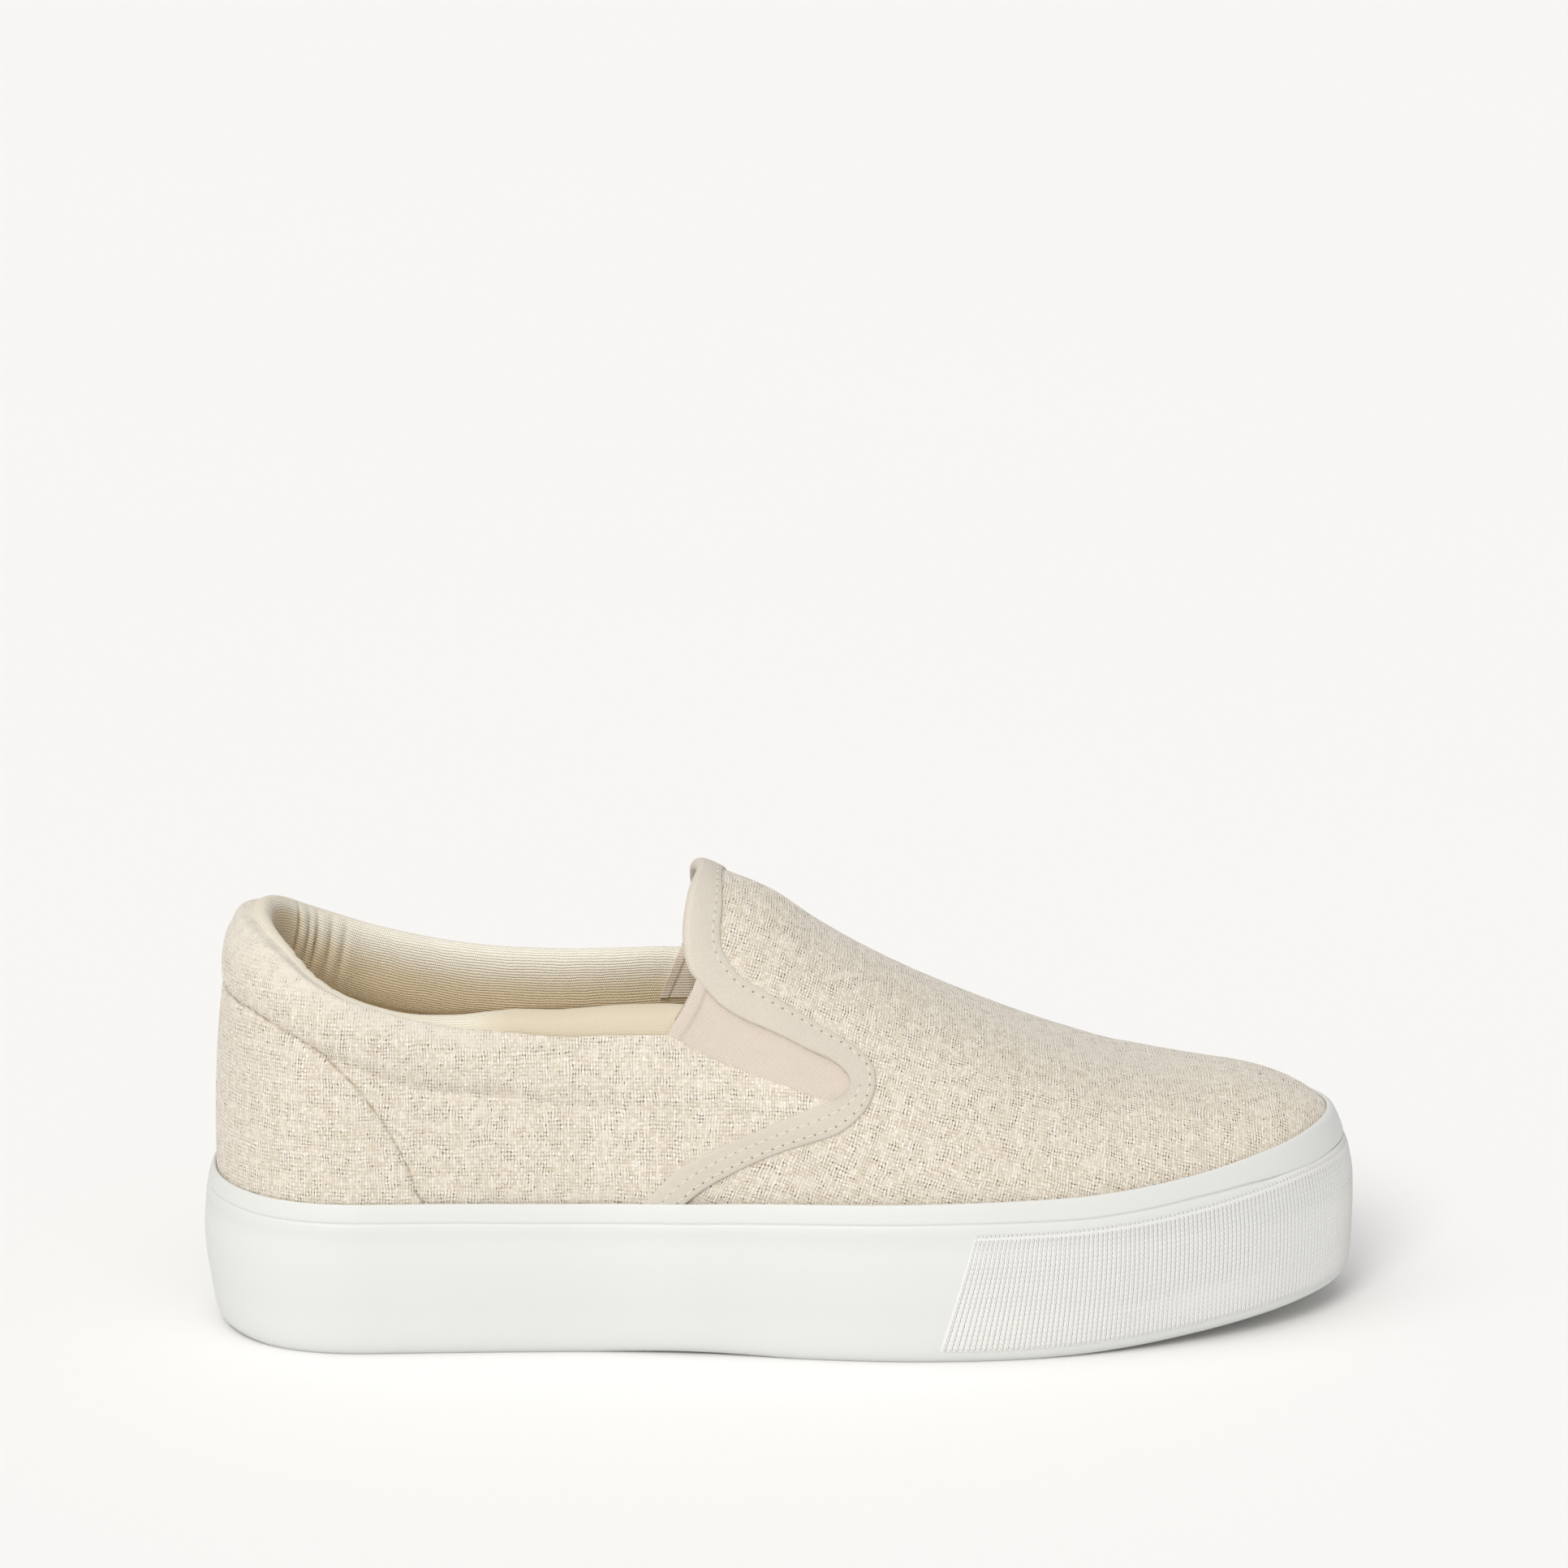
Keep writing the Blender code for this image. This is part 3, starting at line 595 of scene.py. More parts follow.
def linenCanvas(name, shade=1.0, contrast=1.0, seams=False):
    # heathered linen: yarns of slightly different shades cross at right angles and float over one or more of
    # the others;
    # clear zones and soft zones take turns, with small holes between yarns in the clear painted dark as shade
    f = Finish(name, 0.92, Sheen_Weight=0.3, Sheen_Roughness=0.4, Specular_IOR_Level=0.2)
    tones = ("light", "dark", "pale", "gap")
    light, dark, pale, gap = (tuple(shade * part for part in linen[tone]) for tone in tones)
    u, w = f.cloth()
    slow = f.noise(f.vector(u, w), 0.11, 4.0, 0.62)
    otherSlow = f.noise(f.vector(w + 31.0, u + 17.0), 0.11, 4.0, 0.62)
    quick = f.noise(f.vector(u + 5.0, w), 0.8, 2.0)
    otherQuick = f.noise(f.vector(w + 9.0, u), 0.8, 2.0)
    p = (u + (slow - 0.5) * 2.0 + (quick - 0.5) * 0.2) / linen["pitch"][0]
    q = (w + (otherSlow - 0.5) * 2.0 + (otherQuick - 0.5) * 0.2) / linen["pitch"][1]
    cellP, cellQ = p.apply("FLOOR"), q.apply("FLOOR")
    shareP, shareQ = p - cellP, q - cellQ
    # the weft is on top at every second crossing, and at some of the others by chance
    parity = (cellP + cellQ).apply("FLOORED_MODULO", 2.0)
    chance = f.random(cellP * 7.3 + cellQ * 31.7)
    weftUp = f.spread(parity * 0.5 + chance * 0.6, 0.72, 0.76)
    across = shareP * (1 - weftUp) + shareQ * weftUp
    lengthwise = shareQ * (1 - weftUp) + shareP * weftUp
    height = (1 - (across * 2 - 1) ** 2.0) * ((lengthwise * math.pi).apply("SINE") * 0.3 + 0.7)
    zone = f.spread(f.noise(f.vector(u + 3.0, w), 0.30, 4.0, 0.75), 0.38, 0.64)
    warpTone = f.random(cellP + 0.5) * 0.12 + f.noise(f.vector(cellP * 3.7, w * 0.7), 1.0, 3.0, 0.7) * 0.88
    weftTone = f.random(cellQ + 57.5) * 0.12 + f.noise(f.vector(cellQ * 4.3, u * 0.7), 1.0, 3.0, 0.7) * 0.88
    tone = warpTone * (1 - weftUp) + (weftTone + 0.03) * weftUp
    colour = f.mix(f.spread(tone + chance * 0.35, 0.42, 0.92), light, dark)
    # painted highlight: the crowns of the yarns are painted paler, besides the pale yarns that come by chance
    crown = f.spread(height, 0.6, 0.95) * (zone * 0.45 + 0.15)
    colour = f.mix(f.spread(tone - chance * 0.3, 0.34, 0.16) * 0.45 + crown, colour, pale)
    # painted shade: where the yarns dip between one another the colour turns to the darker gap colour
    edge = f.spread(height, 0.6, 0.0) * (zone * 0.7 + 0.08) * contrast
    colour = f.mix(edge, colour, gap)
    # painted shade: the small openings between the yarns are painted nearly black
    nearP = (p - (p + 0.5).apply("FLOOR")).apply("ABSOLUTE")
    nearQ = (q - (q + 0.5).apply("FLOOR")).apply("ABSOLUTE")
    corner = f.random((p + 0.5).apply("FLOOR") * 12.9 + (q + 0.5).apply("FLOOR") * 78.2)
    hole = f.spread(nearP + nearQ * 0.8, 0.34, 0.10)
    hole = hole * f.spread(corner * 0.7 + zone * 0.45, 0.72, 1.0) * contrast
    colour = f.mix(hole * 0.9, colour, linen["hole"])
    # painted highlight: paler towards the light colour where the rim layer says, along the vamp's crest and
    # the quarter's rim
    colour = f.mix(f.layer("rim") * 0.75, colour, light)
    if seams:
        # painted shadow: a thin broken dark line along the counter panel's seam, where its edge lies over the
        # quarter
        near = f.spread(f.layer("seam"), 0.45, 0.0)
        broken = f.spread(f.noise(f.vector(u, w), 0.3, 2.0), 0.42, 0.6)
        colour = f.mix(near * (broken * 0.55 + 0.3), colour, linen["seam"])
    fibre = f.noise(f.vector(u, w), 3.5, 3.0)
    normal = f.bump(height * (zone * 0.7 + 0.15) - hole * 0.5 + fibre * 0.35 + tone * 0.4, linen["depth"])
    return f.finish(colour, None, normal)


tapeLook = {"pitch": 0.42, "light": (0.69, 0.64, 0.556), "dark": (0.64, 0.582, 0.494)}


def tapeCloth(name):
    # fine cotton twill tape: close weave, a little sheen, slow shading along it
    f = Finish(name, 0.85, Sheen_Weight=0.2, Specular_IOR_Level=0.25)
    u, w = f.cloth()
    height = plainWeave(f, u, w, tapeLook["pitch"], 0.2)
    slow = f.noise(f.vector(u, w), 0.22, 3.0)
    # painted highlight: the weave's raised yarns are painted a little paler than the slow tone
    colour = f.mix(slow * 0.7 + height * 0.3, tapeLook["dark"], tapeLook["light"])
    normal = f.bump(height * 0.7 + f.noise(f.vector(u, w), 1.2, 3.0) * 0.6, 0.00012)
    return f.finish(colour, None, normal)


goreLook = {
    "pitch": 0.62,
    "crossPitch": 0.5,
    "light": (0.715, 0.637, 0.554),
    "dark": (0.648, 0.562, 0.475),
    # the tab's elastic is painted far paler than the gore's, as painted light against the shade it hangs in
    # inside the collar
    "insideLight": (0.93, 0.86, 0.76),
    "insideDark": (0.74, 0.64, 0.52),
    # painted shade along the tab's hemmed edge
    "hem": (0.60, 0.49, 0.37),
    "depth": 0.00013,
}


def elasticCloth(name, light, dark, hem=False):
    # covered elastic: fine ribs along the wedge, with cross threads
    f = Finish(name, 0.8, Sheen_Weight=0.15, Specular_IOR_Level=0.25)
    u, w = f.cloth()
    rib = ((w / goreLook["pitch"]) * 2 * math.pi).apply("SINE") * 0.5 + 0.5
    phase = (u / goreLook["crossPitch"]) * 2 * math.pi + (w / goreLook["pitch"]).apply("FLOOR") * math.pi
    cross = phase.apply("SINE") * 0.5 + 0.5
    slow = f.noise(f.vector(u, w), 0.25, 3.0)
    # painted highlight: the ribs' tops are painted paler than the hollows between them
    colour = f.mix(rib * 0.4 + slow * 0.6, dark, light)
    if hem:
        # painted shade: the hem along the tab's free edge is painted darker
        colour = f.mix(f.layer("hem") * 0.4, colour, goreLook["hem"])
    normal = f.bump(rib + cross * 0.35, goreLook["depth"])
    return f.finish(colour, None, normal)


liningLook = {
    "course": 0.64,
    "wale": 0.55,
    "light": (0.97, 0.93, 0.82),
    "dark": (0.89, 0.82, 0.67),
    "warmShade": (0.815, 0.66, 0.42),
    "cream": (0.635, 0.56, 0.425),
    "groove": (0.52, 0.40, 0.25),
    "depth": 0.00017,
}


def liningKnit(name, light, dark):
    # ribbed knit: rows along the roll, small loops in each row
    f = Finish(name, 0.9, Sheen_Weight=0.2, Sheen_Roughness=0.5, Specular_IOR_Level=0.2)
    u, w = f.cloth()
    drift = f.noise(f.vector(u, w), 0.12, 2.0)
    row = (w + (drift - 0.5) * 1.2) / liningLook["course"]
    number = row.apply("FLOOR")
    across = row - number
    ridge = 1 - (across * 2 - 1) ** 2.0
    loop = ((u / liningLook["wale"] + number * 0.5) * 2 * math.pi).apply("SINE") * 0.5 + 0.5
    tone = f.random(number + 0.5) * 0.3 + f.noise(f.vector(u * 0.3, number * 2.1), 1.0, 3.0) * 0.7
    # painted highlight in part: the raised ridges and loops are painted paler, besides the tone of each row
    colour = f.mix(f.spread(tone * 0.5 + ridge * 0.3 + loop * 0.2, 0.2, 0.75), dark, light)
    # painted shade: warm and darker where the under layer says, below the crest and inside the heel
    under = f.layer("under")
    colour = f.mix(under * 0.8, colour, liningLook["warmShade"])
    # painted shade: the grooves between the rows are painted darker, most of all below the crest
    groove = f.spread(ridge + loop * 0.25, 0.55, 0.0) * tone * (under * 0.6 + 0.1)
    # painted shade: the crease below the medial roll is darkened too
    colour = f.mix(groove + f.layer("creaseShade") * 0.75, colour, liningLook["groove"])
    cream = f.layer("cream")
    colour = f.mix(cream, colour, liningLook["cream"])
    relief = (ridge + loop * 0.7) * (1 - cream * 0.8) + f.noise(f.vector(u, w), 2.0, 3.0) * 0.5
    return f.finish(colour, None, f.bump(relief, liningLook["depth"]))


def smoothLining(name, light, dark):
    # brushed cotton lining
    f = Finish(name, 0.9, Sheen_Weight=0.2, Specular_IOR_Level=0.2)
    place = f.place()
    slow = f.noise(place, 60.0, 4.0)
    fine = f.noise(place, 1400.0, 3.0)
    normal = f.bump(fine, 0.00015)
    return f.finish(f.mix(slow * 0.6 + fine * 0.4, dark, light), None, normal)


rubberLook = {
    "light": (0.71, 0.722, 0.702),
    "shade": (0.70, 0.712, 0.692),
    "dust": (0.64, 0.645, 0.62),
    # the strip's colours are painted paler than the sole's rubber, as painted light against the shade between
    # its ribs
    "stripLight": (0.775, 0.768, 0.745),
    "stripShade": (0.775, 0.765, 0.74),
    # heights in metres between which the dust near the floor fades, and the painted shade at the top of the
    # wall comes in from the wall's fullest place
    "dustLow": (0.004, 0.0),
    "paintedShadeHigh": (0.026, 0.031),
}


def whiteRubber(name, light, shade):
    # satin moulded rubber: faint mottling, a dull haze, a trace of dust near the floor and painted shade
    # along the top of the wall
    f = Finish(name, 0.42, Specular_IOR_Level=0.4, Subsurface_Weight=0.04, Subsurface_Scale=0.003)
    place = f.place()
    slow = f.noise(place, 22.0, 4.0)
    fine = f.noise(place, 900.0, 3.0)
    z = f.parts(place)[2]
    low = f.spread(z, *rubberLook["dustLow"])
    high = f.spread(z, *rubberLook["paintedShadeHigh"])
    colour = f.mix(f.spread(slow, 0.35, 0.7), shade, light)
    # dust near the floor, and painted shade darkening the top of the wall towards the same colour
    colour = f.mix(low * 0.15 + high * 0.35, colour, rubberLook["dust"])
    normal = f.bump(slow * 0.5 + fine * 0.2, 0.0001)
    return f.finish(colour, f.spread(fine, 0.3, 0.7, 0.38, 0.52), normal)


def threadCloth(name, colour, dark):
    # twisted thread: two tones mixed by very fine noise
    f = Finish(name, 0.7, Specular_IOR_Level=0.3)
    place = f.place()
    twist = f.noise(place, 2500.0, 2.0)
    return f.finish(f.mix(twist, dark, colour), None, f.bump(twist, 0.0001))


floorLook = {"low": (0.893, 0.885, 0.877), "high": (0.903, 0.895, 0.887)}


def floorPaper(name):
    # pale studio paper with the faintest unevenness
    f = Finish(name, 0.9, Specular_IOR_Level=0.1)
    slow = f.noise(f.place(), 3.0, 3.0)
    grain = f.noise(f.place(), 300.0, 2.0)
    return f.finish(f.mix(slow, floorLook["low"], floorLook["high"]), None, f.bump(grain, 0.00005))


# painted shade: the vamp's canvas is a copy painted a little darker than the quarter's, where more light
# falls on it
canvas = linenCanvas("linenCanvas", 0.975, 1.25)
canvasSeamed = linenCanvas("linenCanvasSeamed", seams=True)
tapeMaterial = tapeCloth("bindingTape")
goreMaterial = elasticCloth("elasticRib", goreLook["light"], goreLook["dark"])
# the tab's copy of the elastic is painted paler, as painted light against the shade inside the collar
tabMaterial = elasticCloth("elasticInsideLightened", goreLook["insideLight"], goreLook["insideDark"], hem=True)
rollMaterial = liningKnit("liningKnit", liningLook["light"], liningLook["dark"])
creamMaterial = smoothLining("creamLining", (0.95, 0.87, 0.70), (0.90, 0.81, 0.63))
insoleMaterial = smoothLining("insoleCloth", (0.92, 0.83, 0.67), (0.87, 0.77, 0.60))
rubberMaterial = whiteRubber("whiteRubber", rubberLook["light"], rubberLook["shade"])
# the strip's copy of the rubber is painted paler, against the shade between its ribs
stripMaterial = whiteRubber("texturedRubber", rubberLook["stripLight"], rubberLook["stripShade"])
threadMaterial = threadCloth("stitchThread", (0.78, 0.72, 0.62), (0.70, 0.635, 0.53))
# painted shade: dark beads stand for the shade inside each needle hole
needleHoleShade = threadCloth("needleHole", (0.34, 0.26, 0.18), (0.24, 0.17, 0.11))
print("materials ready")

# the binding tape round the vamp's edge
tape = {
    # inner edge x, z and outer edge x, z from the top of the throat down to the sole
    "rows": (
        (-18.6, 108.8, -13.6, 106.6),
        (-21.6, 105.0, -14.2, 101.4),
        (-23.2, 97.3, -14.9, 96.8),
        (-22.3, 90.2, -14.3, 92.9),
        (-19.4, 86.6, -12.0, 89.5),
        (-16.1, 82.7, -9.5, 87.2),
        (-11.2, 79.6, -5.5, 85.2),
        (-3.7, 76.5, 0.0, 81.9),
        (3.7, 72.9, 7.5, 77.4),
        (11.2, 69.4, 15.5, 72.6),
        (14.5, 65.9, 19.9, 68.6),
        (13.9, 63.9, 20.4, 64.9),
        (12.8, 62.5, 18.9, 60.7),
        (8.7, 61.2, 13.6, 55.5),
        (0.4, 57.9, 5.4, 52.2),
        (-7.9, 54.1, -3.2, 49.2),
        (-16.9, 50.1, -12.6, 44.6),
        (-26.7, 44.1, -20.4, 39.8),
        (-32.9, 37.2, -25.4, 35.4),
        (-37.4, 32.0, -29.4, 31.4),
    ),
    "medialRise": 3.2,
    # how much further forward the medial edge stands, by height
    "medialShift": {"x": (60, 70, 80, 88, 98, 105, 109), "by": (0, 1.0, 3.2, 4.4, 3.6, 1.6, 0)},
    # across the tape from its outer edge over the top to its inner edge and back: share, lift
    "flatProfile": (
        (1.0, -0.35), (1.0, 0.1), (0.99, 0.4), (0.955, 0.62), (0.9, 0.72), (0.75, 0.74), (0.6, 0.80),
        (0.5, 0.82), (0.4, 0.80), (0.25, 0.72), (0.1, 0.72), (0.045, 0.6), (0.01, 0.35), (0.0, 0.0),
        (0.0, -0.45), (0.02, -0.6), (0.1, -0.6), (0.3, -0.55), (0.5, -0.5), (0.7, -0.45), (0.9, -0.4),
        (0.97, -0.38),
    ),
    "freeProfile": (
        (1.0, -0.35), (1.0, 0.1), (0.99, 0.4), (0.955, 0.62), (0.9, 0.74), (0.75, 0.8), (0.6, 0.9),
        (0.5, 0.92), (0.4, 0.92), (0.25, 0.8), (0.12, 0.6), (0.03, 0.2), (-0.02, -0.4), (-0.03, -1.2),
        (0.0, -2.0), (0.06, -2.5), (0.15, -2.75), (0.35, -2.85), (0.55, -2.85), (0.75, -2.8), (0.9, -2.6),
        (0.98, -1.6),
    ),
    "freeEnd": (84.0, 90.0),
    "step": 0.7,
    "smoothing": 2.2,
}


def tapePath():
    # both edges of the tape as s and v, from the lateral sole over the throat to the medial sole
    rows = np.array(tape["rows"])
    sides = []
    for side in (lateral, medial):
        edges = []
        for x, z in ((rows[:, 0], rows[:, 1]), (rows[:, 2], rows[:, 3])):
            rise = tape["medialRise"] * np.clip((14 - x) / 38, 0, 1)
            rise = rise * np.clip((108 - z) / 15, 0, 1) * np.clip((z - 50) / 15, 0, 1)
            x = x + np.interp(z, tape["medialShift"]["x"], tape["medialShift"]["by"]) * (side > 0)
            s, v = findOnLast(side, x[1:], z[1:] + rise[1:] * (side > 0))
            s = np.concatenate([upperStation(x[:1]), s])
            v = np.concatenate([[1.0], v])
            edges += [s, v if side < 0 else 2 - v]
        sides.append(np.stack(edges, -1))
    knots = np.concatenate([sides[0][::-1], sides[1][1:]])
    middle = lastPoint(lateral, (knots[:, 0] + knots[:, 2]) / 2, (knots[:, 1] + knots[:, 3]) / 2)
    travelled = lengths(middle)
    t = np.arange(0, travelled[-1], tape["step"])
    path = np.stack([flowing(travelled, knots[:, k], t) for k in range(4)], -1)
    reach = np.arange(-12, 13) * tape["step"]
    kernel = bell(reach, tape["smoothing"])
    padded = np.pad(path, ((12, 12), (0, 0)), mode="reflect", reflect_type="odd")
    return np.stack([np.convolve(padded[:, k], kernel / kernel.sum(), "valid") for k in range(4)], -1)


tapeLine = tapePath()


def tapePoint(line, share, lift):
    # a point across the tape, from its inner edge at 0 to its outer edge at 1
    s = line[..., 0] + (line[..., 2] - line[..., 0]) * share
    v = line[..., 1] + (line[..., 3] - line[..., 1]) * share
    return skinPoint(lateral, s, v, lift)


def buildTape():
    # its profile carried along the path; at the throat it stands free and wraps the cut edge
    flat = np.array(tape["flatProfile"])
    free = np.array(tape["freeProfile"])
    height = tapePoint(tapeLine, 0.0, 0.0)[:, 2]
    atThroat = smooth(*tape["freeEnd"], height)[:, None]
    share = flat[:, 0] + (free[:, 0] - flat[:, 0]) * atThroat
    lift = flat[:, 1] + (free[:, 1] - flat[:, 1]) * atThroat
    rings = tapePoint(tapeLine[:, None, :], share, lift)
    # cloth coordinates: along the middle of its face, and round one of its flat sections
    uv = together(lengths(rings[:, 7])[:, None], lengths(rings[60]))
    return sweep("bindingTape", rings, tapeMaterial, uv)


stitching = {
    # each row's place across the tape, and the height up to which it runs
    "rows": ((0.78, 200.0), (0.40, 65.0)),
    "lowest": 36.0,
    "pitch": 2.6,
    "lift": 0.74,
    # length, half width and height
    "thread": (1.6, 0.2, 0.16),
    "hole": (0.384, 0.24, 0.1),
}


def framesAlong(points, normals):
    # three axes at each point: along the run, across it, and out of the surface
    ahead = unit(np.gradient(points, axis=0))
    across = unit(np.cross(normals, ahead))
    return np.stack([ahead, across, np.cross(ahead, across)], 1)


def spacedAlong(values, points, pitch, start):
    # rows of values at equal distances along a run of points
    travelled = lengths(points)
    at = np.arange(pitch * start, travelled[-1], pitch)
    return np.stack([np.interp(at, travelled, values[:, k]) for k in range(values.shape[1])], -1)


def buildStitches(name, bead, start, material):
    # one bead at each stitch, or between two where start is 0
    places = []
    for share, upTo in stitching["rows"]:
        run = tapePoint(tapeLine, share, stitching["lift"])
        line = spacedAlong(tapeLine, run, stitching["pitch"], start)
        points = tapePoint(line, share, stitching["lift"])
        frames = framesAlong(points, points - tapePoint(line, share, 0.0))
        keep = (points[:, 2] > stitching["lowest"]) & (points[:, 2] < upTo)
        places.append((points[keep], frames[keep]))
    origins, axes = (np.concatenate(part) for part in zip(*places))
    scatter(name, *roundBead(*bead), origins, axes, material, "linen_canvas")


# the vamp, one piece of canvas from the throat to the toe
vamp = {
    "backX": -37.0,
    "lowV": 0.012,
    "step": 0.82,
    "thickness": 1.75,
    "grainLean": {"x": (-30, 10, 40, 70, 100, 135), "lean": (0.42, 0.40, 0.30, 0.18, 0.08, 0.0)},
    "unevenness": 0.22,
    # cross sections and points on each, from which the cloth's lie is read
    "clothTable": (260, 60),
    "clothFrom": -60.0,
    # about how many millimetres one s and one v are
    "spread": (250.0, 90.0),
    # how far its edges are drawn in behind the sole's edge
    "footIn": 0.5,
}


def vampCloth(points, v):
    # how far the cloth at each point lies along the crest and down from it: cross sections lean forward
    # by the grain's lean, and the distance down is measured round the section at the same x
    columns, rows = vamp["clothTable"]
    end = shoe["length"] / 2 - shoe["upperSetIn"]
    falling = np.linspace(1, 0, 200)
    front = lastPoint(lateral, 1.0, falling)
    back = lastPoint(lateral, np.linspace(upperStation(vamp["clothFrom"]), 1, 400), 1.0)
    crest = np.concatenate([back, front[1:]])
    x = np.linspace(vamp["clothFrom"], end - 0.3, columns)
    topV = np.where(x > fan["toeTo"], np.interp(x, front[:, 0], falling), 1.0)
    level = topV[:, None] * (1 - np.linspace(0, 1, rows))
    sections = []
    for side in (lateral, medial):
        low = np.zeros_like(level)
        high = np.ones_like(level)
        for _ in range(22):
            middle = (low + high) / 2
            behind = lastPoint(side, middle, level)[..., 0] < x[:, None]
            low = np.where(behind, middle, low)
            high = np.where(behind, high, middle)
        sections.append(lengths(lastPoint(side, (low + high) / 2, level)))
    overTop = v > 1
    column = np.clip(np.interp(points[..., 0], x, np.arange(columns)), 0, columns - 1.001)
    reach = np.interp(points[..., 0], x, topV)
    row = np.clip(1 - np.where(overTop, 2 - v, v) / np.maximum(reach, 0.02), 0, 0.99999) * (rows - 1)
    i, j = column.astype(int), row.astype(int)
    f, g = column - i, row - j
    down = []
    for table in sections:
        near = table[i, j] * (1 - g) + table[i, j + 1] * g
        down.append(near * (1 - f) + (table[i + 1, j] * (1 - g) + table[i + 1, j + 1] * g) * f)
    place = points[..., 0]
    for _ in range(8):
        lean = np.interp(place, vamp["grainLean"]["x"], vamp["grainLean"]["lean"])
        above = np.interp(place, crest[:, 0], crest[:, 2]) - points[..., 2]
        place = points[..., 0] + lean * np.maximum(above, 0)
    u = np.interp(place, crest[:, 0], lengths(crest))
    return together(u, np.where(overTop, down[1], -down[0]))


def buildVamp():
    # an even grid from edge to edge over the crest, cut along the middle of the tape
    start = upperStation(vamp["backX"])
    plan = together(*upperPlan(lateral, np.linspace(start, 1, 400)))
    columns = int(lengths(plan)[-1] / vamp["step"])
    s = start + (1 - start) * evenly(plan[None], columns)[0]
    wide = np.linspace(vamp["lowV"], 2 - vamp["lowV"], 240)[None, :]
    curves = lastPoint(lateral, s[:, None], wide)
    rows = int(lengths(curves).max(0)[-1] / vamp["step"])
    share = evenly(curves, rows)
    v = vamp["lowV"] + (2 - 2 * vamp["lowV"]) * share
    s = s[:, None] + 0 * v
    # the cut line runs along the tape's middle and is closed behind the heel
    middle = (tapeLine[:, :2] + tapeLine[:, 2:]) / 2
    hole = np.concatenate([middle, [[-0.5, middle[-1, 1]], [-0.5, middle[0, 1]]]])
    inside = insidePolygon(hole, s, v)
    faces = gridFaces(*s.shape)
    faces = faces[~inside.ravel()[faces].all(1)]
    used = np.zeros(s.size, bool)
    used[faces] = True
    # corners past the cut line move onto it
    past = inside & used.reshape(s.shape)
    gaps = np.linalg.norm((together(s[past], v[past])[:, None] - middle) * vamp["spread"], axis=2)
    s[past], v[past] = middle[gaps.argmin(1)].T
    points = lastPoint(lateral, s, v)
    cloth = vampCloth(points, v)
    fromEdge = np.minimum(v, 2 - v)
    swell = vamp["unevenness"] * waviness(cloth[..., 0], cloth[..., 1], 34, 0.7)
    swell = swell * smooth(0.05, 0.35, fromEdge) - vamp["footIn"] * (1 - smooth(0.0, 0.16, fromEdge))
    points = skinPoint(lateral, s, v, swell)
    # corners that no face uses are left out, and the rest numbered again
    number = np.cumsum(used) - 1
    # painted highlight: the cloth is painted a little paler along the crest, where the light grazes it
    paintedRimHighlight = 0.35 * smooth(0.72, 0.98, fromEdge) * smooth(20, 80, points[..., 0])
    skin = makePiece(
        "vampSkin", points.reshape(-1, 3)[used], number[faces], canvas,
        cloth.reshape(-1, 2)[used], {"rim": paintedRimHighlight.ravel()[used]}, facing=(0, 0, 1),
    )
    skin.data.materials.append(creamMaterial)
    wall = skin.modifiers.new("wall", "SOLIDIFY")
    wall.thickness = vamp["thickness"] * mm
    wall.offset = -1.0
    wall.material_offset = 1
    return skin


# the quarter, one piece of canvas round the heel, with a counter panel and a padded collar
quarter = {
    "tipX": 13.4,
    "columnStep": 0.66,
    "rowStep": 0.62,
    "lowLine": {
        "x": (-140, -34.5, -33.5, -30, -24.6, -15.2, -5.5, 2.9, 11.1, 15.8),
        "z": (32.5, 32.5, 32.7, 37.2, 43.3, 48.5, 52.1, 55.4, 58.3, 61.6),
    },
    # top edge: drop below the edge, depth of a rolled collar, depth of a plain fold
    "lip": (
        (3.4, -0.5, -0.25), (2.6, -0.4, -0.28), (1.9, -0.2, -0.28), (1.3, 0.1, -0.26), (0.8, 0.45, -0.2),
        (0.4, 0.9, -0.1), (0.1, 1.4, 0.02), (-0.12, 2.0, 0.15), (-0.26, 2.7, 0.3), (-0.3, 3.4, 0.5),
        (-0.22, 4.1, 0.7), (0.0, 4.6, 0.9), (0.4, 4.9, 1.05), (1.1, 4.8, 1.15), (2.4, 3.8, 1.2),
        (3.4, 2.6, 1.3),
    ),
    "elasticEdge": {
        "x": (-27.2, -26.0, -21.0, -16.9, -12.0, -7.0, 0.4, 3.7, 8.7, 13.4),
        "z": (75.6, 75.0, 71.8, 69.9, 68.1, 66.2, 64.0, 62.6, 61.2, 61.0),
    },
    "innerRows": 10,
    "innerDepth": 1.9,
    "foldFrom": (-31.0, -25.5),
    # on the lateral side the roll stands above a plain fold
    "lateralFold": (-78.0, -58.0),
    # how far the rim drops on the lateral side, where the far side stands higher
    "rimDrop": 1.6,
    "heelWidening": {"by": 0.45, "reach": 30.0},
    "unevenness": 0.3,
    # how far the foot of the wall is drawn in behind the sole's edge
    "footIn": 0.35,
    # the distance from any seam that the rim and the inner face are given
    "seamless": 9.0,
}
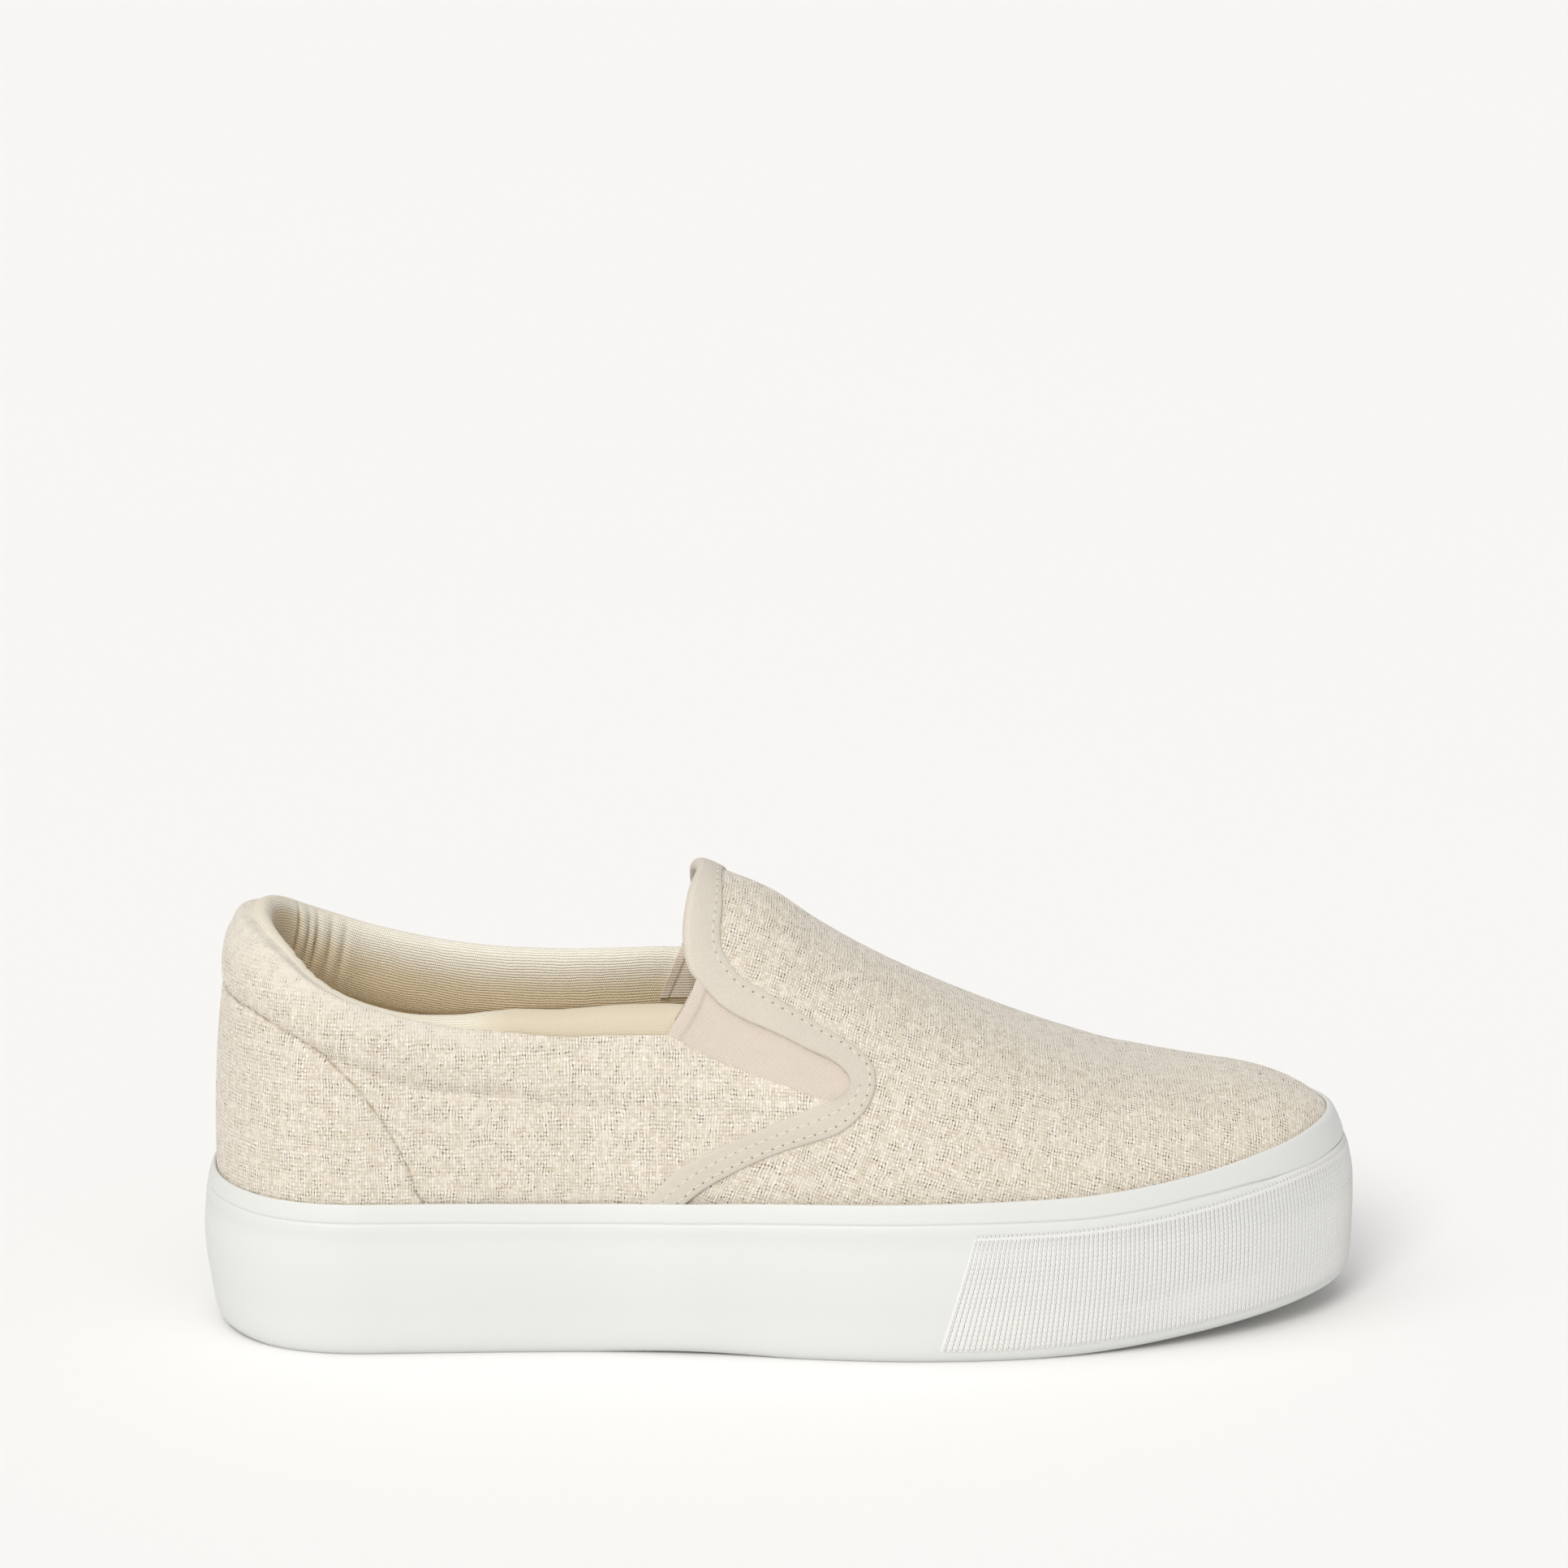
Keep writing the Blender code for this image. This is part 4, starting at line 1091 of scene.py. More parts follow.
seams = {
    # counter panel's edge from the sole up and back to the heel: x, z
    "counter": (
        (-83.6, 33.0), (-84.3, 36.7), (-86.2, 39.5), (-87.4, 44.5), (-89.2, 48.3), (-91.6, 52.8),
        (-93.9, 57.0), (-97.2, 61.2), (-99.3, 64.5), (-107.6, 72.2), (-113.1, 75.4), (-118.5, 78.0),
        (-123.4, 80.0), (-128.4, 81.0),
    ),
    "quilting": {
        "x": (-135, -128.4, -118.5, -107.6, -97.6, -90.8, -79.6, -68.8, -50.4, -30),
        "z": (81.5, 81.0, 78.0, 72.2, 68.2, 65.5, 63.0, 62.1, 60.0, 58.5),
    },
    "counterAtHeel": 81.6,
    "panelStep": 0.35,
    "troughDepth": 0.6,
    "troughWidth": 0.5,
    "ridge": 0.15,
    "padding": 1.5,
    "quiltDepth": 0.9,
    "quiltWidth": 2.1,
    "tug": 0.13,
}


def collarEdge(side, s):
    # height of the collar's edge at each station
    v = vAtHeight(side, s, collarHeight)
    return lastPoint(side, s, v)[..., 2]


def topLine(side, s):
    # the quarter's upper edge: the collar, then the lower edge of the elastic
    x = upperPlan(side, s)[0]
    collar = collarEdge(side, s)
    edge = quarter["elasticEdge"]
    fromEnd = np.clip((edge["x"][-1] - np.array(edge["x"])) / 38, 0, 1)
    nearX, nearZ = np.array(edge["x"]), np.array(edge["z"])
    near = np.where(x < nearX[0], collar, np.interp(x, nearX, nearZ))
    farX, farZ = nearX + goreMedialShift * fromEnd, nearZ + goreMedialRise * fromEnd
    far = np.where(x < farX[0], collar, np.interp(x, farX, farZ))
    return np.where(side > 0, far, near)


def lateralShare(side, s):
    # 1 along the lateral side, 0 along the medial side, a half in the middle of the heel
    y = upperPlan(side, s)[1]
    return np.clip(0.5 - y / (2 * shoe["collarHalfWidth"]), 0, 1)


def wallAt(side, s, z, depth):
    # a point of the upper's wall at a height, moved level inwards by depth
    side, s, z, depth = np.broadcast_arrays(side, s, z, depth)
    v = vAtHeight(side, s, z)
    level = unit(lastNormal(side, s, v) * (1, 1, 0))
    points = lastPoint(side, s, v) - level * depth[..., None]
    points[..., 2] = z
    return points


stations = np.linspace(0, 1, 800)
heelToToe = lengths(together(*upperPlan(medial, stations)))


def heelReach(x):
    # distance round the plan from the middle of the heel to an x
    return np.interp(upperStation(x), stations, heelToToe)


def columnsAt(u):
    # side and station at distances round the plan from the heel, less than 0 on the lateral side
    return np.where(u < 0, lateral, medial), np.interp(np.abs(u), heelToToe, stations)


def fromCounter(u, z):
    # signed distance from the counter panel's seam in the flat of the cloth, less than 0 on the panel
    counterX, counterZ = np.array(seams["counter"]).T
    counterU = np.interp(findOnLast(lateral, counterX, counterZ)[0], stations, heelToToe)
    atHeel = [[0.0, seams["counterAtHeel"]]]
    line = np.concatenate([together(-counterU, counterZ), atHeel, together(counterU, counterZ)[::-1]])
    return distanceTo(line, *np.broadcast_arrays(u, z))


def quarterLift(u, z, top, x, realX, away):
    # how far the cloth stands off the wall: the sum of the panel's step, the padding and soft unevenness
    lift = seams["panelStep"] * smooth(-0.25, 0.5, -away)
    lift = lift + seams["ridge"] * bell(-away - 1.3, 1.0) * smooth(82, 72, z)
    lift = lift - seams["troughDepth"] * bell(away, seams["troughWidth"])
    # the padding swells above the quilting line, which is pulled in
    quilting = along(seams["quilting"], "z", realX)
    padShare = np.clip((z - quilting) / (top - quilting), 0, 1)
    frontFade = smooth(-26, -60, x)
    lift = lift + seams["padding"] * np.sin(math.pi * padShare) ** 0.7 * (0.45 + 0.55 * frontFade)
    pulled = bell(z - quilting, seams["quiltWidth"]) * smooth(-35, -90, realX) * smooth(-118, -104, realX)
    lift = lift - seams["quiltDepth"] * pulled
    # the thread tugs small waves into the cloth beside the seam
    tug = np.sin((u + z) * 1.9 + 2.0 * np.sin(z * 0.45)) * np.exp(-np.abs(away) / 2.4)
    lift = lift + seams["tug"] * tug
    slow = waviness(u, z, 38, 2.1) * smooth(36, 44, z) * smooth(0, 6, top - z)
    return lift + quarter["unevenness"] * slow - quarter["footIn"] * smooth(39, 34, z)


def buildQuarter():
    # columns round the plan, rows up the outer face, over the lip and down the inner face
    width = heelReach(quarter["tipX"])
    u = np.linspace(-width, width, int(2 * width / quarter["columnStep"]) | 1)[:, None]
    side, s = columnsAt(u)
    x = upperPlan(side, s)[0]
    top = topLine(side, s)
    low = along(quarter["lowLine"], "z", x)
    low = np.minimum(low, top - 0.6)
    lip = np.array(quarter["lip"])
    rows = int((top - low).max() / quarter["rowStep"])
    share = np.linspace(0, 1, rows)[None, :-1]
    lipDrop = np.minimum(lip[:, 0][None, :], (top - low) * 0.8)
    z = low + (top - lipDrop[:, :1] - low) * share
    drop = top - z
    away = fromCounter(u, z)
    lift = quarterLift(u, z, top, x, wallAt(side, s, z, 0)[..., 0], away)
    # from the gore forward, and on the lateral side over the roll, the edge is a plain fold
    medialFold = smooth(*quarter["foldFrom"], x - goreMedialShift)
    fold = np.where(side > 0, medialFold, smooth(*quarter["lateralFold"], x))
    lift = lift * (1 - fold * (1 - smooth(0, 8, drop)))
    lipDepth = lip[:, 1] + (lip[:, 2] - lip[:, 1]) * fold
    rim = quarter["rimDrop"] * lateralShare(side, s) * (1 - fold)
    nearTop = 1 - smooth(2.0, 7.0, drop)
    lift = lift * (1 - nearTop) - lipDepth[:, :1] * nearTop
    outer = wallAt(side, s, z, -lift)
    # the rolled rim is wider round the heel
    wider = quarter["heelWidening"]["by"] * bell(u, quarter["heelWidening"]["reach"])
    lipDepth = lipDepth * (1 + wider * (lipDepth > 0))
    lipZ = top - lipDrop - rim * smooth(0.2, 3.2, lipDepth)
    edge = wallAt(side, s, lipZ, lipDepth)
    innerShare = np.linspace(0, 1, quarter["innerRows"])[None, 1:]
    innerTop = lipZ[:, -1:]
    innerZ = innerTop + (low - innerTop) * innerShare
    innerDepth = lipDepth[:, -1:] + (quarter["innerDepth"] - lipDepth[:, -1:]) * np.minimum(innerShare * 3, 1)
    inner = wallAt(side, s, innerZ, innerDepth)
    rings = np.concatenate([outer, edge, inner], 1)
    uv = together(u, np.concatenate([z, lipZ[:, :1] + lengths(edge), innerZ], 1))
    past = np.full((len(u), lipZ.shape[1] + innerZ.shape[1]), quarter["seamless"])
    seam = np.concatenate([np.abs(away), past], 1)
    # painted highlight: over the rim the cloth is painted paler and smoother, as where the light grazes it
    reach = 5 + 7 * bell(u, 42)
    paintedRimHighlight = smooth(reach, 0.3 * reach, drop) * (1 - fold)
    paintedRimHighlight = np.concatenate([paintedRimHighlight, 1 - fold + 0 * lipZ, 1 + 0 * innerZ], 1)
    return sweep("quarterSkin", rings, canvasSeamed, uv, {"seam": seam, "rim": paintedRimHighlight})


# the elastic wedges between the vamp and the quarter
gore = {
    "depth": 0.5,
    "thickness": 1.1,
    "lap": 16.0,
    "reach": 1.12,
    "hem": {"share": 0.07, "lift": 0.4},
    "ribDirection": (0.88916, -0.45783),
    "rows": 60,
    "columns": 120,
}


def buildGore(name, side):
    # a runs along the wedge to its point, b up across it; past both a strip laps under the canvas
    a = np.linspace(0, gore["reach"], gore["columns"])[:, None]
    b = np.linspace(-0.16, 1.16, gore["rows"])[None, :]
    past = np.maximum(a - 1, 0) * 40
    within = np.clip(b, 0, 1)
    x, z = (
        along(goreEdges, "lower" + axis, a) * (1 - within) + along(goreEdges, "upper" + axis, a) * within
        for axis in "XZ"
    )
    x = x + (b - within) * gore["lap"] * 0.5
    z = z + (b - within) * gore["lap"]
    x = x + 0.7 * np.sin(math.pi * within) * smooth(0.3, 0, a) + past * 0.93
    z = z - past * 0.36
    inside = np.clip(1 - a, 0, 1) * (side > 0)
    x = x + goreMedialShift * inside
    z = z + goreMedialRise * inside
    s, v = findOnLast(side, x, z)
    hem = smooth(gore["hem"]["share"] + 0.012, gore["hem"]["share"] - 0.012, a)
    lift = gore["hem"]["lift"] * hem * smooth(0.0, 0.012, a) - gore["depth"]
    lift = lift - 0.2 * np.sin(math.pi * within) * np.clip(1 - a, 0, 1) * (1 - hem)
    outer = skinPoint(side, s, v, lift)
    inner = skinPoint(side, s, v, lift - gore["thickness"])
    run, fall = gore["ribDirection"]
    uv = together(x * run + z * fall, z * run - x * fall)
    return sweep(name, slabRings(outer, inner), goreMaterial, slabRings(uv, uv))


# the padded roll inside the collar
roll = {
    "frontX": (-20.5, -12.0),
    # its section: depth inwards from the wall's face, drop below the collar's edge
    "section": (
        (2.5, 10.0), (2.4, 4.5), (3.0, 1.0), (4.4, -0.6), (6.3, -0.6), (8.2, 1.4), (9.2, 5.0),
        (9.2, 10.0), (8.4, 14.5), (6.2, 18.0), (3.2, 17.8),
    ),
    "around": 72,
    "step": 0.5,
    "rimDrop": (-0.7, 1.7),
    # how far it stands above the canvas on the lateral side
    "lateralRise": {
        "x": (-140, -92, -76, -68, -62, -51, -40, -20),
        "z": (0, 0, 2.2, 4.2, 5.4, 6.1, 6.6, 6.9),
    },
    "closer": 1.05,
    # how far below the collar's edge the painted shade of the crease under the medial side begins
    "creaseShade": {"x": (-93, -80, -70, -50, -35), "drop": (19.5, 16.9, 14.7, 12.7, 12.5)},
    "endRun": 9.0,
    # vertical puckers: distance round the plan from the heel, and depth
    "puckers": ((29.5, 2.3), (34.0, 1.4), (37.5, 2.0), (42.5, 1.5), (47.0, 1.3)),
}


def rollPoints(side, s, u, depth, drop):
    # points of the roll's section at each u: its ends taper, and puckers dent its inner face
    ends = heelReach(np.array(roll["frontX"]))
    toEnd = np.minimum(u + ends[0], ends[1] - u)
    taper = np.sqrt(smooth(0, roll["endRun"], toEnd))
    depth = 2.3 + (depth - 2.3) * (0.12 + 0.88 * taper)
    low, high = roll["rimDrop"]
    share = lateralShare(side, s)
    rise = along(roll["lateralRise"], "z", upperPlan(side, s)[0]) * (side < 0)
    # where it stands above the canvas, its outer face lies against the cloth
    depth = depth - roll["closer"] * smooth(0.5, 4, rise) * smooth(4.6, 2.6, depth)
    rim = low + (high - low) * share - rise
    drop = drop + rim * smooth(18, 4, drop)
    inwards = smooth(3.0, 8.0, depth)
    lean = np.abs(u) + 0.12 * (drop - 7)
    pucker = sum(deep * bell(lean - at, 1.0) for at, deep in roll["puckers"])
    swell = 0.6 * smooth(24, 32, lean) * smooth(58, 46, lean)
    depth = depth + (swell - pucker) * inwards * bell(drop - 7, 6)
    slow = 0.3 * waviness(u, 0, 31, 0.4)
    return wallAt(side, s, collarEdge(side, s) - drop, depth + slow * inwards)


def buildRoll():
    # its section carried round the heel from one gore to the other
    ends = heelReach(np.array(roll["frontX"]))
    u = np.linspace(-ends[0], ends[1], int(ends.sum() / roll["step"]))[:, None]
    depth, drop = roundLoop(roll["section"], roll["around"]).T
    side, s = columnsAt(u)
    rings = rollPoints(side, s, u, depth, drop)
    uv = together(u, lengths(rings[len(rings) // 2]))
    # painted shade: a warm darker colour below the crest, and on the whole inner face round the heel, where
    # the roll lies in shade
    fromHeel = np.abs(u)
    atHeel = smooth(42, 22, fromHeel) * smooth(6.5, 8.5, depth) * smooth(0.5, 3.5, drop) * 0.9
    under = np.maximum(smooth(2.0, 11.5, drop) * smooth(1.5, 5.0, depth), atHeel)
    # painted shade: on the medial side its underside is painted dark, as the shade of the crease below it
    x = upperPlan(side, s)[0]
    creaseShade = smooth(-0.9, 0.3, drop - along(roll["creaseShade"], "drop", x)) * (side > 0) * smooth(1.5, 5.0, depth)
    # the band over its crest is smooth cloth, darker where the lateral side stands up
    band = smooth(2.5, 0.0, drop) * smooth(8.0, 6.5, depth)
    stands = np.clip(along(roll["lateralRise"], "z", x) / 5, 0.5, 1) * (side < 0)
    cream = np.maximum(smooth(16, 8, drop) * stands, band * 0.5 * smooth(60, 30, fromHeel))
    layers = {"under": under, "cream": cream, "creaseShade": creaseShade}
    piece = sweep("collarRoll", rings, rollMaterial, uv, layers)
    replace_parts(piece, "collar_pad")
    return piece


# the elastic's inner end, sewn over the end of the roll
tab = {
    # its free edge on the medial side: x at each drop below the collar's edge
    "edge": {"drop": (-1.0, 2.0, 11.0, 18.0), "x": (-21.6, -23.2, -27.2, -29.2)},
    "lateralShift": 6.0,
    "lift": 0.55,
    "thickness": 0.5,
    "hem": 2.2,
    "arc": (0.27, 0.66),
    "columns": 60,
    "around": 90,
}


def buildTab(name, side):
    # over the roll's crest, then straight down from its widest place to a free lower end
    loop = roundLoop(roll["section"], 240)
    loop = loop[int(tab["arc"][0] * len(loop)):int(tab["arc"][1] * len(loop))]
    loop[:, 0] = np.maximum.accumulate(loop[:, 0])
    far = lengths(loop)
    share = np.linspace(0, far[-1], tab["around"])
    loop = together(np.interp(share, far, loop[:, 0]), np.interp(share, far, loop[:, 1]))
    run = np.gradient(loop, axis=0)
    outwards = unit(together(run[:, 1], -run[:, 0]))
    edgeX = np.interp(loop[:, 1], tab["edge"]["drop"], tab["edge"]["x"]) + tab["lateralShift"] * (side < 0)
    start = heelReach(edgeX)
    end = heelReach(roll["frontX"][0 if side < 0 else 1] - 0.6)
    u = start + (end - start) * np.linspace(0, 1, tab["columns"])[:, None]
    s = columnsAt(u)[1]
    hem = 0.35 * smooth(tab["hem"], tab["hem"] - 0.4, u - start)
    faces = []
    for lift in (tab["lift"] + hem, tab["lift"] - tab["thickness"] + 0 * hem):
        points = loop + outwards * lift[..., None]
        faces.append(rollPoints(side + 0 * u, s, side * u, points[..., 0], points[..., 1]))
    down = lengths(loop)
    uv = together(u - start + 0.25 * down, down)
    # painted shade along the hem at the tab's free end
    edge = smooth(tab["hem"] + 0.5, tab["hem"], u - start) * 0.8
    hemShade = slabRings(edge, edge)
    return sweep(name, slabRings(*faces), tabMaterial, slabRings(uv, uv), {"hem": hemShade})


lining = {
    "frontX": 12.0,
    "low": 33.5,
    "belowCollar": 15.0,
    "depth": (2.0, 2.5),
    "rows": 24,
    "columns": 240,
}


def buildLining():
    # smooth cloth on the inside of the wall below the roll
    end = heelReach(lining["frontX"])
    side, s = columnsAt(np.linspace(-end, end, lining["columns"])[:, None])
    under = lining["belowCollar"] + (1.0 - lining["belowCollar"]) * smooth(-38, -27, upperPlan(side, s)[0])
    share = np.linspace(0, 1, lining["rows"])
    z = lining["low"] + (topLine(side, s) - under - lining["low"]) * share
    rings = slabRings(*(wallAt(side, s, z, depth) for depth in lining["depth"]))
    return sweep("innerLining", rings, creamMaterial)


insole = {"setIn": 6.6, "columns": 170, "rows": 40, "cup": 0.66, "rounding": 1.0, "gap": 0.35}


def buildInsole():
    # across the footbed as a sine from edge to edge, cupped in the middle and rounded at the edge
    s = np.linspace(0, 1, insole["columns"])[:, None]
    across = np.sin(np.linspace(-1, 1, insole["rows"]) * math.pi / 2)
    x, near = planPoint(lateral, s, insole["setIn"])
    far = planPoint(medial, s, insole["setIn"])[1]
    y = (near + far) / 2 + (far - near) / 2 * across
    floor = along(soleHeights, "footbed", x)
    edge = np.abs(across)
    top = floor + shoe["insoleTop"] - insole["rounding"] * edge**16 + insole["cup"] * (edge**3 - 1)
    rings = slabRings(together(x, y, top), together(x, y, floor + insole["gap"]))
    piece = sweep("insolePad", rings, insoleMaterial)
    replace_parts(piece, "insole")
    return piece


# the platform sole with its moulded strip line, and the textured strip round the toe
sole = {
    "columns": 400,
    # how far the moulded line lies below the wall's top, and the rows of points close to it
    "stripBelowTop": {
        "x": (-135, 40, 70, 95, 107, 117, 125, 131, 135),
        "gap": (4.2, 4.6, 5.0, 4.9, 5.5, 6.5, 7.0, 6.4, 6.0),
    },
    "closeRows": (-0.9, -0.6, -0.4, -0.22, -0.08, 0.08, 0.22, 0.4, 0.6, 0.9, 1.3, 1.8, 2.3),
    "toeRimRise": 1.2,
    "rimRound": 0.3,
    "seatDrop": 0.5,
    "seatGap": 0.25,
    "grooveDepth": {"x": (-135, 30, 90, 125), "depth": (0.22, 0.25, 0.4, 0.55)},
    "treadDepth": 2.0,
    "treadWidth": 3.0,
    "treads": (-116, -104.8, -93.6, -82.4, -71.2, -60, 12, 24, 36, 48, 60, 72, 84, 96, 108),
}


def aroundSides(count):
    # once round the shoe, from the heel along the lateral side and back along the medial one
    t = np.arange(2 * count) / count
    return np.where(t < 1, lateral, medial)[:, None], np.where(t < 1, t, 2 - t)[:, None]


def wallPoint(side, s, share, proud=0.0):
    # the sole's wall at a share of its height, standing proud by a distance
    x = planX(s)
    low = along(soleHeights, "underside", x)
    high = along(soleHeights, "foxing", x)
    toe = smooth(toeWall["from"], toeWall["to"], x)
    inset = along(wallProfile, "inset", share) * (1 - toe) + along(wallProfile, "toeInset", share) * toe
    return outline(side, s, inset - proud, low + share * (high - low))


def acrossTo(ring, shares, heights):
    # rings that shrink to the line midway between opposite points of a ring
    mate = np.roll(ring[::-1], 1, axis=0)
    centre = (ring + mate) / 2
    points = centre[:, None, :] + (ring - centre)[:, None, :] * shares[None, :, None]
    points[..., 2] = heights
    return points


def buildSole():
    # rings from the middle of the tread out to the wall, up it, over the rim to the upper and down inside
    side, s = aroundSides(sole["columns"])
    x = planX(s)
    low = along(soleHeights, "underside", x)
    high = along(soleHeights, "foxing", x)
    strip = high - np.interp(x, sole["stripBelowTop"]["x"], sole["stripBelowTop"]["gap"])
    # rows up the wall, close together at the moulded line: a groove with a soft swell below it
    near = strip + np.array(sole["closeRows"])
    below = low + (strip - 1.3 - low) * np.linspace(0, 1, 44) ** 1.15
    above = near[:, -1:] + (high - near[:, -1:]) * np.linspace(0, 1, 9)[1:]
    height = np.concatenate([below, near, above], 1)
    share = (height - low) / (high - low)
    offset = height - strip
    groove = np.interp(x, sole["grooveDepth"]["x"], sole["grooveDepth"]["depth"])
    proud = 0.10 * smooth(-0.1, 0.5, offset) + 0.12 * bell(offset + 1.9, 0.8) - groove * bell(offset, 0.32)
    wall = wallPoint(side, s, share, proud)
    # the rim runs in from the wall to the upper, a little rounded, then down to the footbed
    footX = planX(s, shoe["upperSetIn"])
    rimTop = along(soleHeights, "foxing", footX) + sole["toeRimRise"] * smooth(112, 130, footX)
    seatZ = rimTop - sole["seatDrop"]
    bed = along(soleHeights, "footbed", footX)
    seat = skinPoint(side, s, vAtHeight(side, s, seatZ), sole["seatGap"])
    q = np.linspace(0, 1, 7)[1:, None]
    rim = wall[:, -1:] + (seat - wall[:, -1:]) * q
    rim[..., 2] += sole["rimRound"] * np.sin(math.pi * q[:, 0])
    level = seatZ + (bed - seatZ) * np.linspace(0, 1, 6)[1:]
    inside = skinPoint(side, s, vAtHeight(side, s, level), sole["seatGap"])
    inside[:, -1, 2] = bed[:, 0]
    closing = acrossTo(inside[:, -1], np.array([0.7, 0.35, 0.0]), bed)
    inwards = np.linspace(0, 1, 26)[:-1]
    under = acrossTo(wall[:, 0], inwards, low)
    half = np.abs(wall[:, :1, 1] - np.roll(wall[::-1, :1, 1], 1, axis=0)) / 2
    # tread lugs across the sole, and one along its middle except under the arch
    halfTread = sole["treadWidth"] / 2
    lug = sum(smooth(1.0, 0.55, np.abs(under[..., 0] - at) / halfTread) for at in sole["treads"])
    spine = smooth(1.0, 0.6, half * inwards / 2.0) * ((x < -52) | (x > 5)) * (np.abs(x) < 118)
    lug = np.clip(np.maximum(lug, spine), 0, 1)
    under[..., 2] += sole["treadDepth"] * lug * smooth(7, 9.5, half * (1 - inwards))
    rings = np.concatenate([under, wall, rim, inside, closing], 1)
    faces = gridFaces(*rings.shape[:2], wrapRows=True)
    piece = makePiece("soleSkin", rings, faces, rubberMaterial)
    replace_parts(piece, "sole")
    return piece


toeStrip = {
    # its height and half its length, from which the edges are measured
    "height": 31.0,
    "halfLength": 130.0,
    "foot": 2.6,
    "belowTop": 6.2,
    "lowX": 34.0,
    "highX": 42.5,
    "proud": 0.35,
    "thickness": 1.2,
    "columns": 520,
    "rows": 40,
    "ribPitch": 1.15,
    "dashPitch": 1.28,
    "dash": (1.25, 0.34, 0.32),
}


def stripPoint(across, share, proud):
    # across runs -1 to 1 from the lateral end round the toe to the medial end, share runs up the strip
    side = np.where(across < 0, lateral, medial)
    low = toeStrip["foot"] / shoe["wallHeight"]
    high = 1 - toeStrip["belowTop"] / shoe["wallHeight"]
    # its ends lean, its ribs only do so close to them
    endX = toeStrip["lowX"] + (toeStrip["highX"] - toeStrip["lowX"]) * share
    upright = stationAt((toeStrip["lowX"] + toeStrip["highX"]) / 2)
    s = 1 - (1 - upright) * np.abs(across) + (stationAt(endX) - upright) * np.abs(across) ** 8
    return wallPoint(side, s, low + (high - low) * share, proud)


def stripProud(across, share):
    # the strip stands proud and falls away at its edges
    fromEnd = (1 - np.abs(across)) * toeStrip["halfLength"]
    up, down = share * toeStrip["height"], (1 - share) * toeStrip["height"]
    edge = smooth(0, 0.9, fromEnd) * smooth(0, 0.9, up) * smooth(0, 2.5, down)
    return toeStrip["proud"] * edge - 0.1 * (1 - edge)


def buildToeStrip():
    # the strip, then a bead for each short rib, in columns at equal distances round it
    across = np.linspace(-1, 1, toeStrip["columns"])[:, None]
    share = np.linspace(0, 1, toeStrip["rows"])
    outer = stripPoint(across, share, stripProud(across, share))
    inner = stripPoint(across, share, toeStrip["proud"] - toeStrip["thickness"])
    piece = sweep("toeStrip", slabRings(outer, inner), stripMaterial)
    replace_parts(piece, "toe_bumper")
    fine = np.linspace(-1, 1, 2000)
    run = lengths(stripPoint(fine, 0.55, 0.0))
    columns = np.arange(toeStrip["ribPitch"], run[-1] - toeStrip["ribPitch"] / 2, toeStrip["ribPitch"])
    place = np.interp(columns, run, fine)
    count = int(toeStrip["height"] / toeStrip["dashPitch"])
    across, row = np.meshgrid(place, np.arange(count), indexing="ij")
    stagger = 0.04 * np.sin(np.arange(len(place)) * 2.4)[:, None]
    share = 0.02 + 0.955 * (row + 0.6 + stagger) / (count + 0.2)
    across, share = across.ravel(), share.ravel()
    origins = stripPoint(across, share, stripProud(across, share))
    above = stripPoint(across, np.minimum(share + 0.02, 1), toeStrip["proud"])
    up = unit(above - stripPoint(across, share - 0.02, toeStrip["proud"]))
    out = stripPoint(across, share, toeStrip["proud"] + 1.0) - origins
    side = unit(np.cross(out, up))
    # the ribs are tallest at the corners of the toe and low near the strip's edges
    corner = bell(np.abs(across) - 0.2, 0.16)
    tall = 0.04 + 0.4 * smooth(0.98, 0.7, share) * corner * smooth(0.0, 0.12, share)
    axes = np.stack([up, side, np.cross(up, side) * tall[:, None]], 1)
    dash = roundBead(*toeStrip["dash"], rings=4, corners=4)
    scatter("toeStripRibs", *dash, origins, axes, stripMaterial, "textured_rubber")


print("binding and stitches")
buildTape()
buildStitches("tapeStitches", stitching["thread"], 0.5, threadMaterial)
# painted shade in the needle holes
buildStitches("needleHoles", stitching["hole"], 0.0, needleHoleShade)
print("vamp")
vampSkin = buildVamp()
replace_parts(vampSkin, "upper")
print("quarter")
buildQuarter()
print("elastic")
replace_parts(buildGore("goreElasticLateral", lateral), "gore_lateral")
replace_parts(buildGore("goreElasticMedial", medial), "gore_medial")
buildTab("elasticTabLateral", lateral)
buildTab("elasticTabMedial", medial)
print("collar and insides")
buildRoll()
buildLining()
buildInsole()
print("sole")
buildSole()
buildToeStrip()

# a plain pale floor, soft light from the upper left, and the camera
stage = {"size": 120.0, "world": (1.0, 0.995, 0.99), "worldStrength": 0.535}


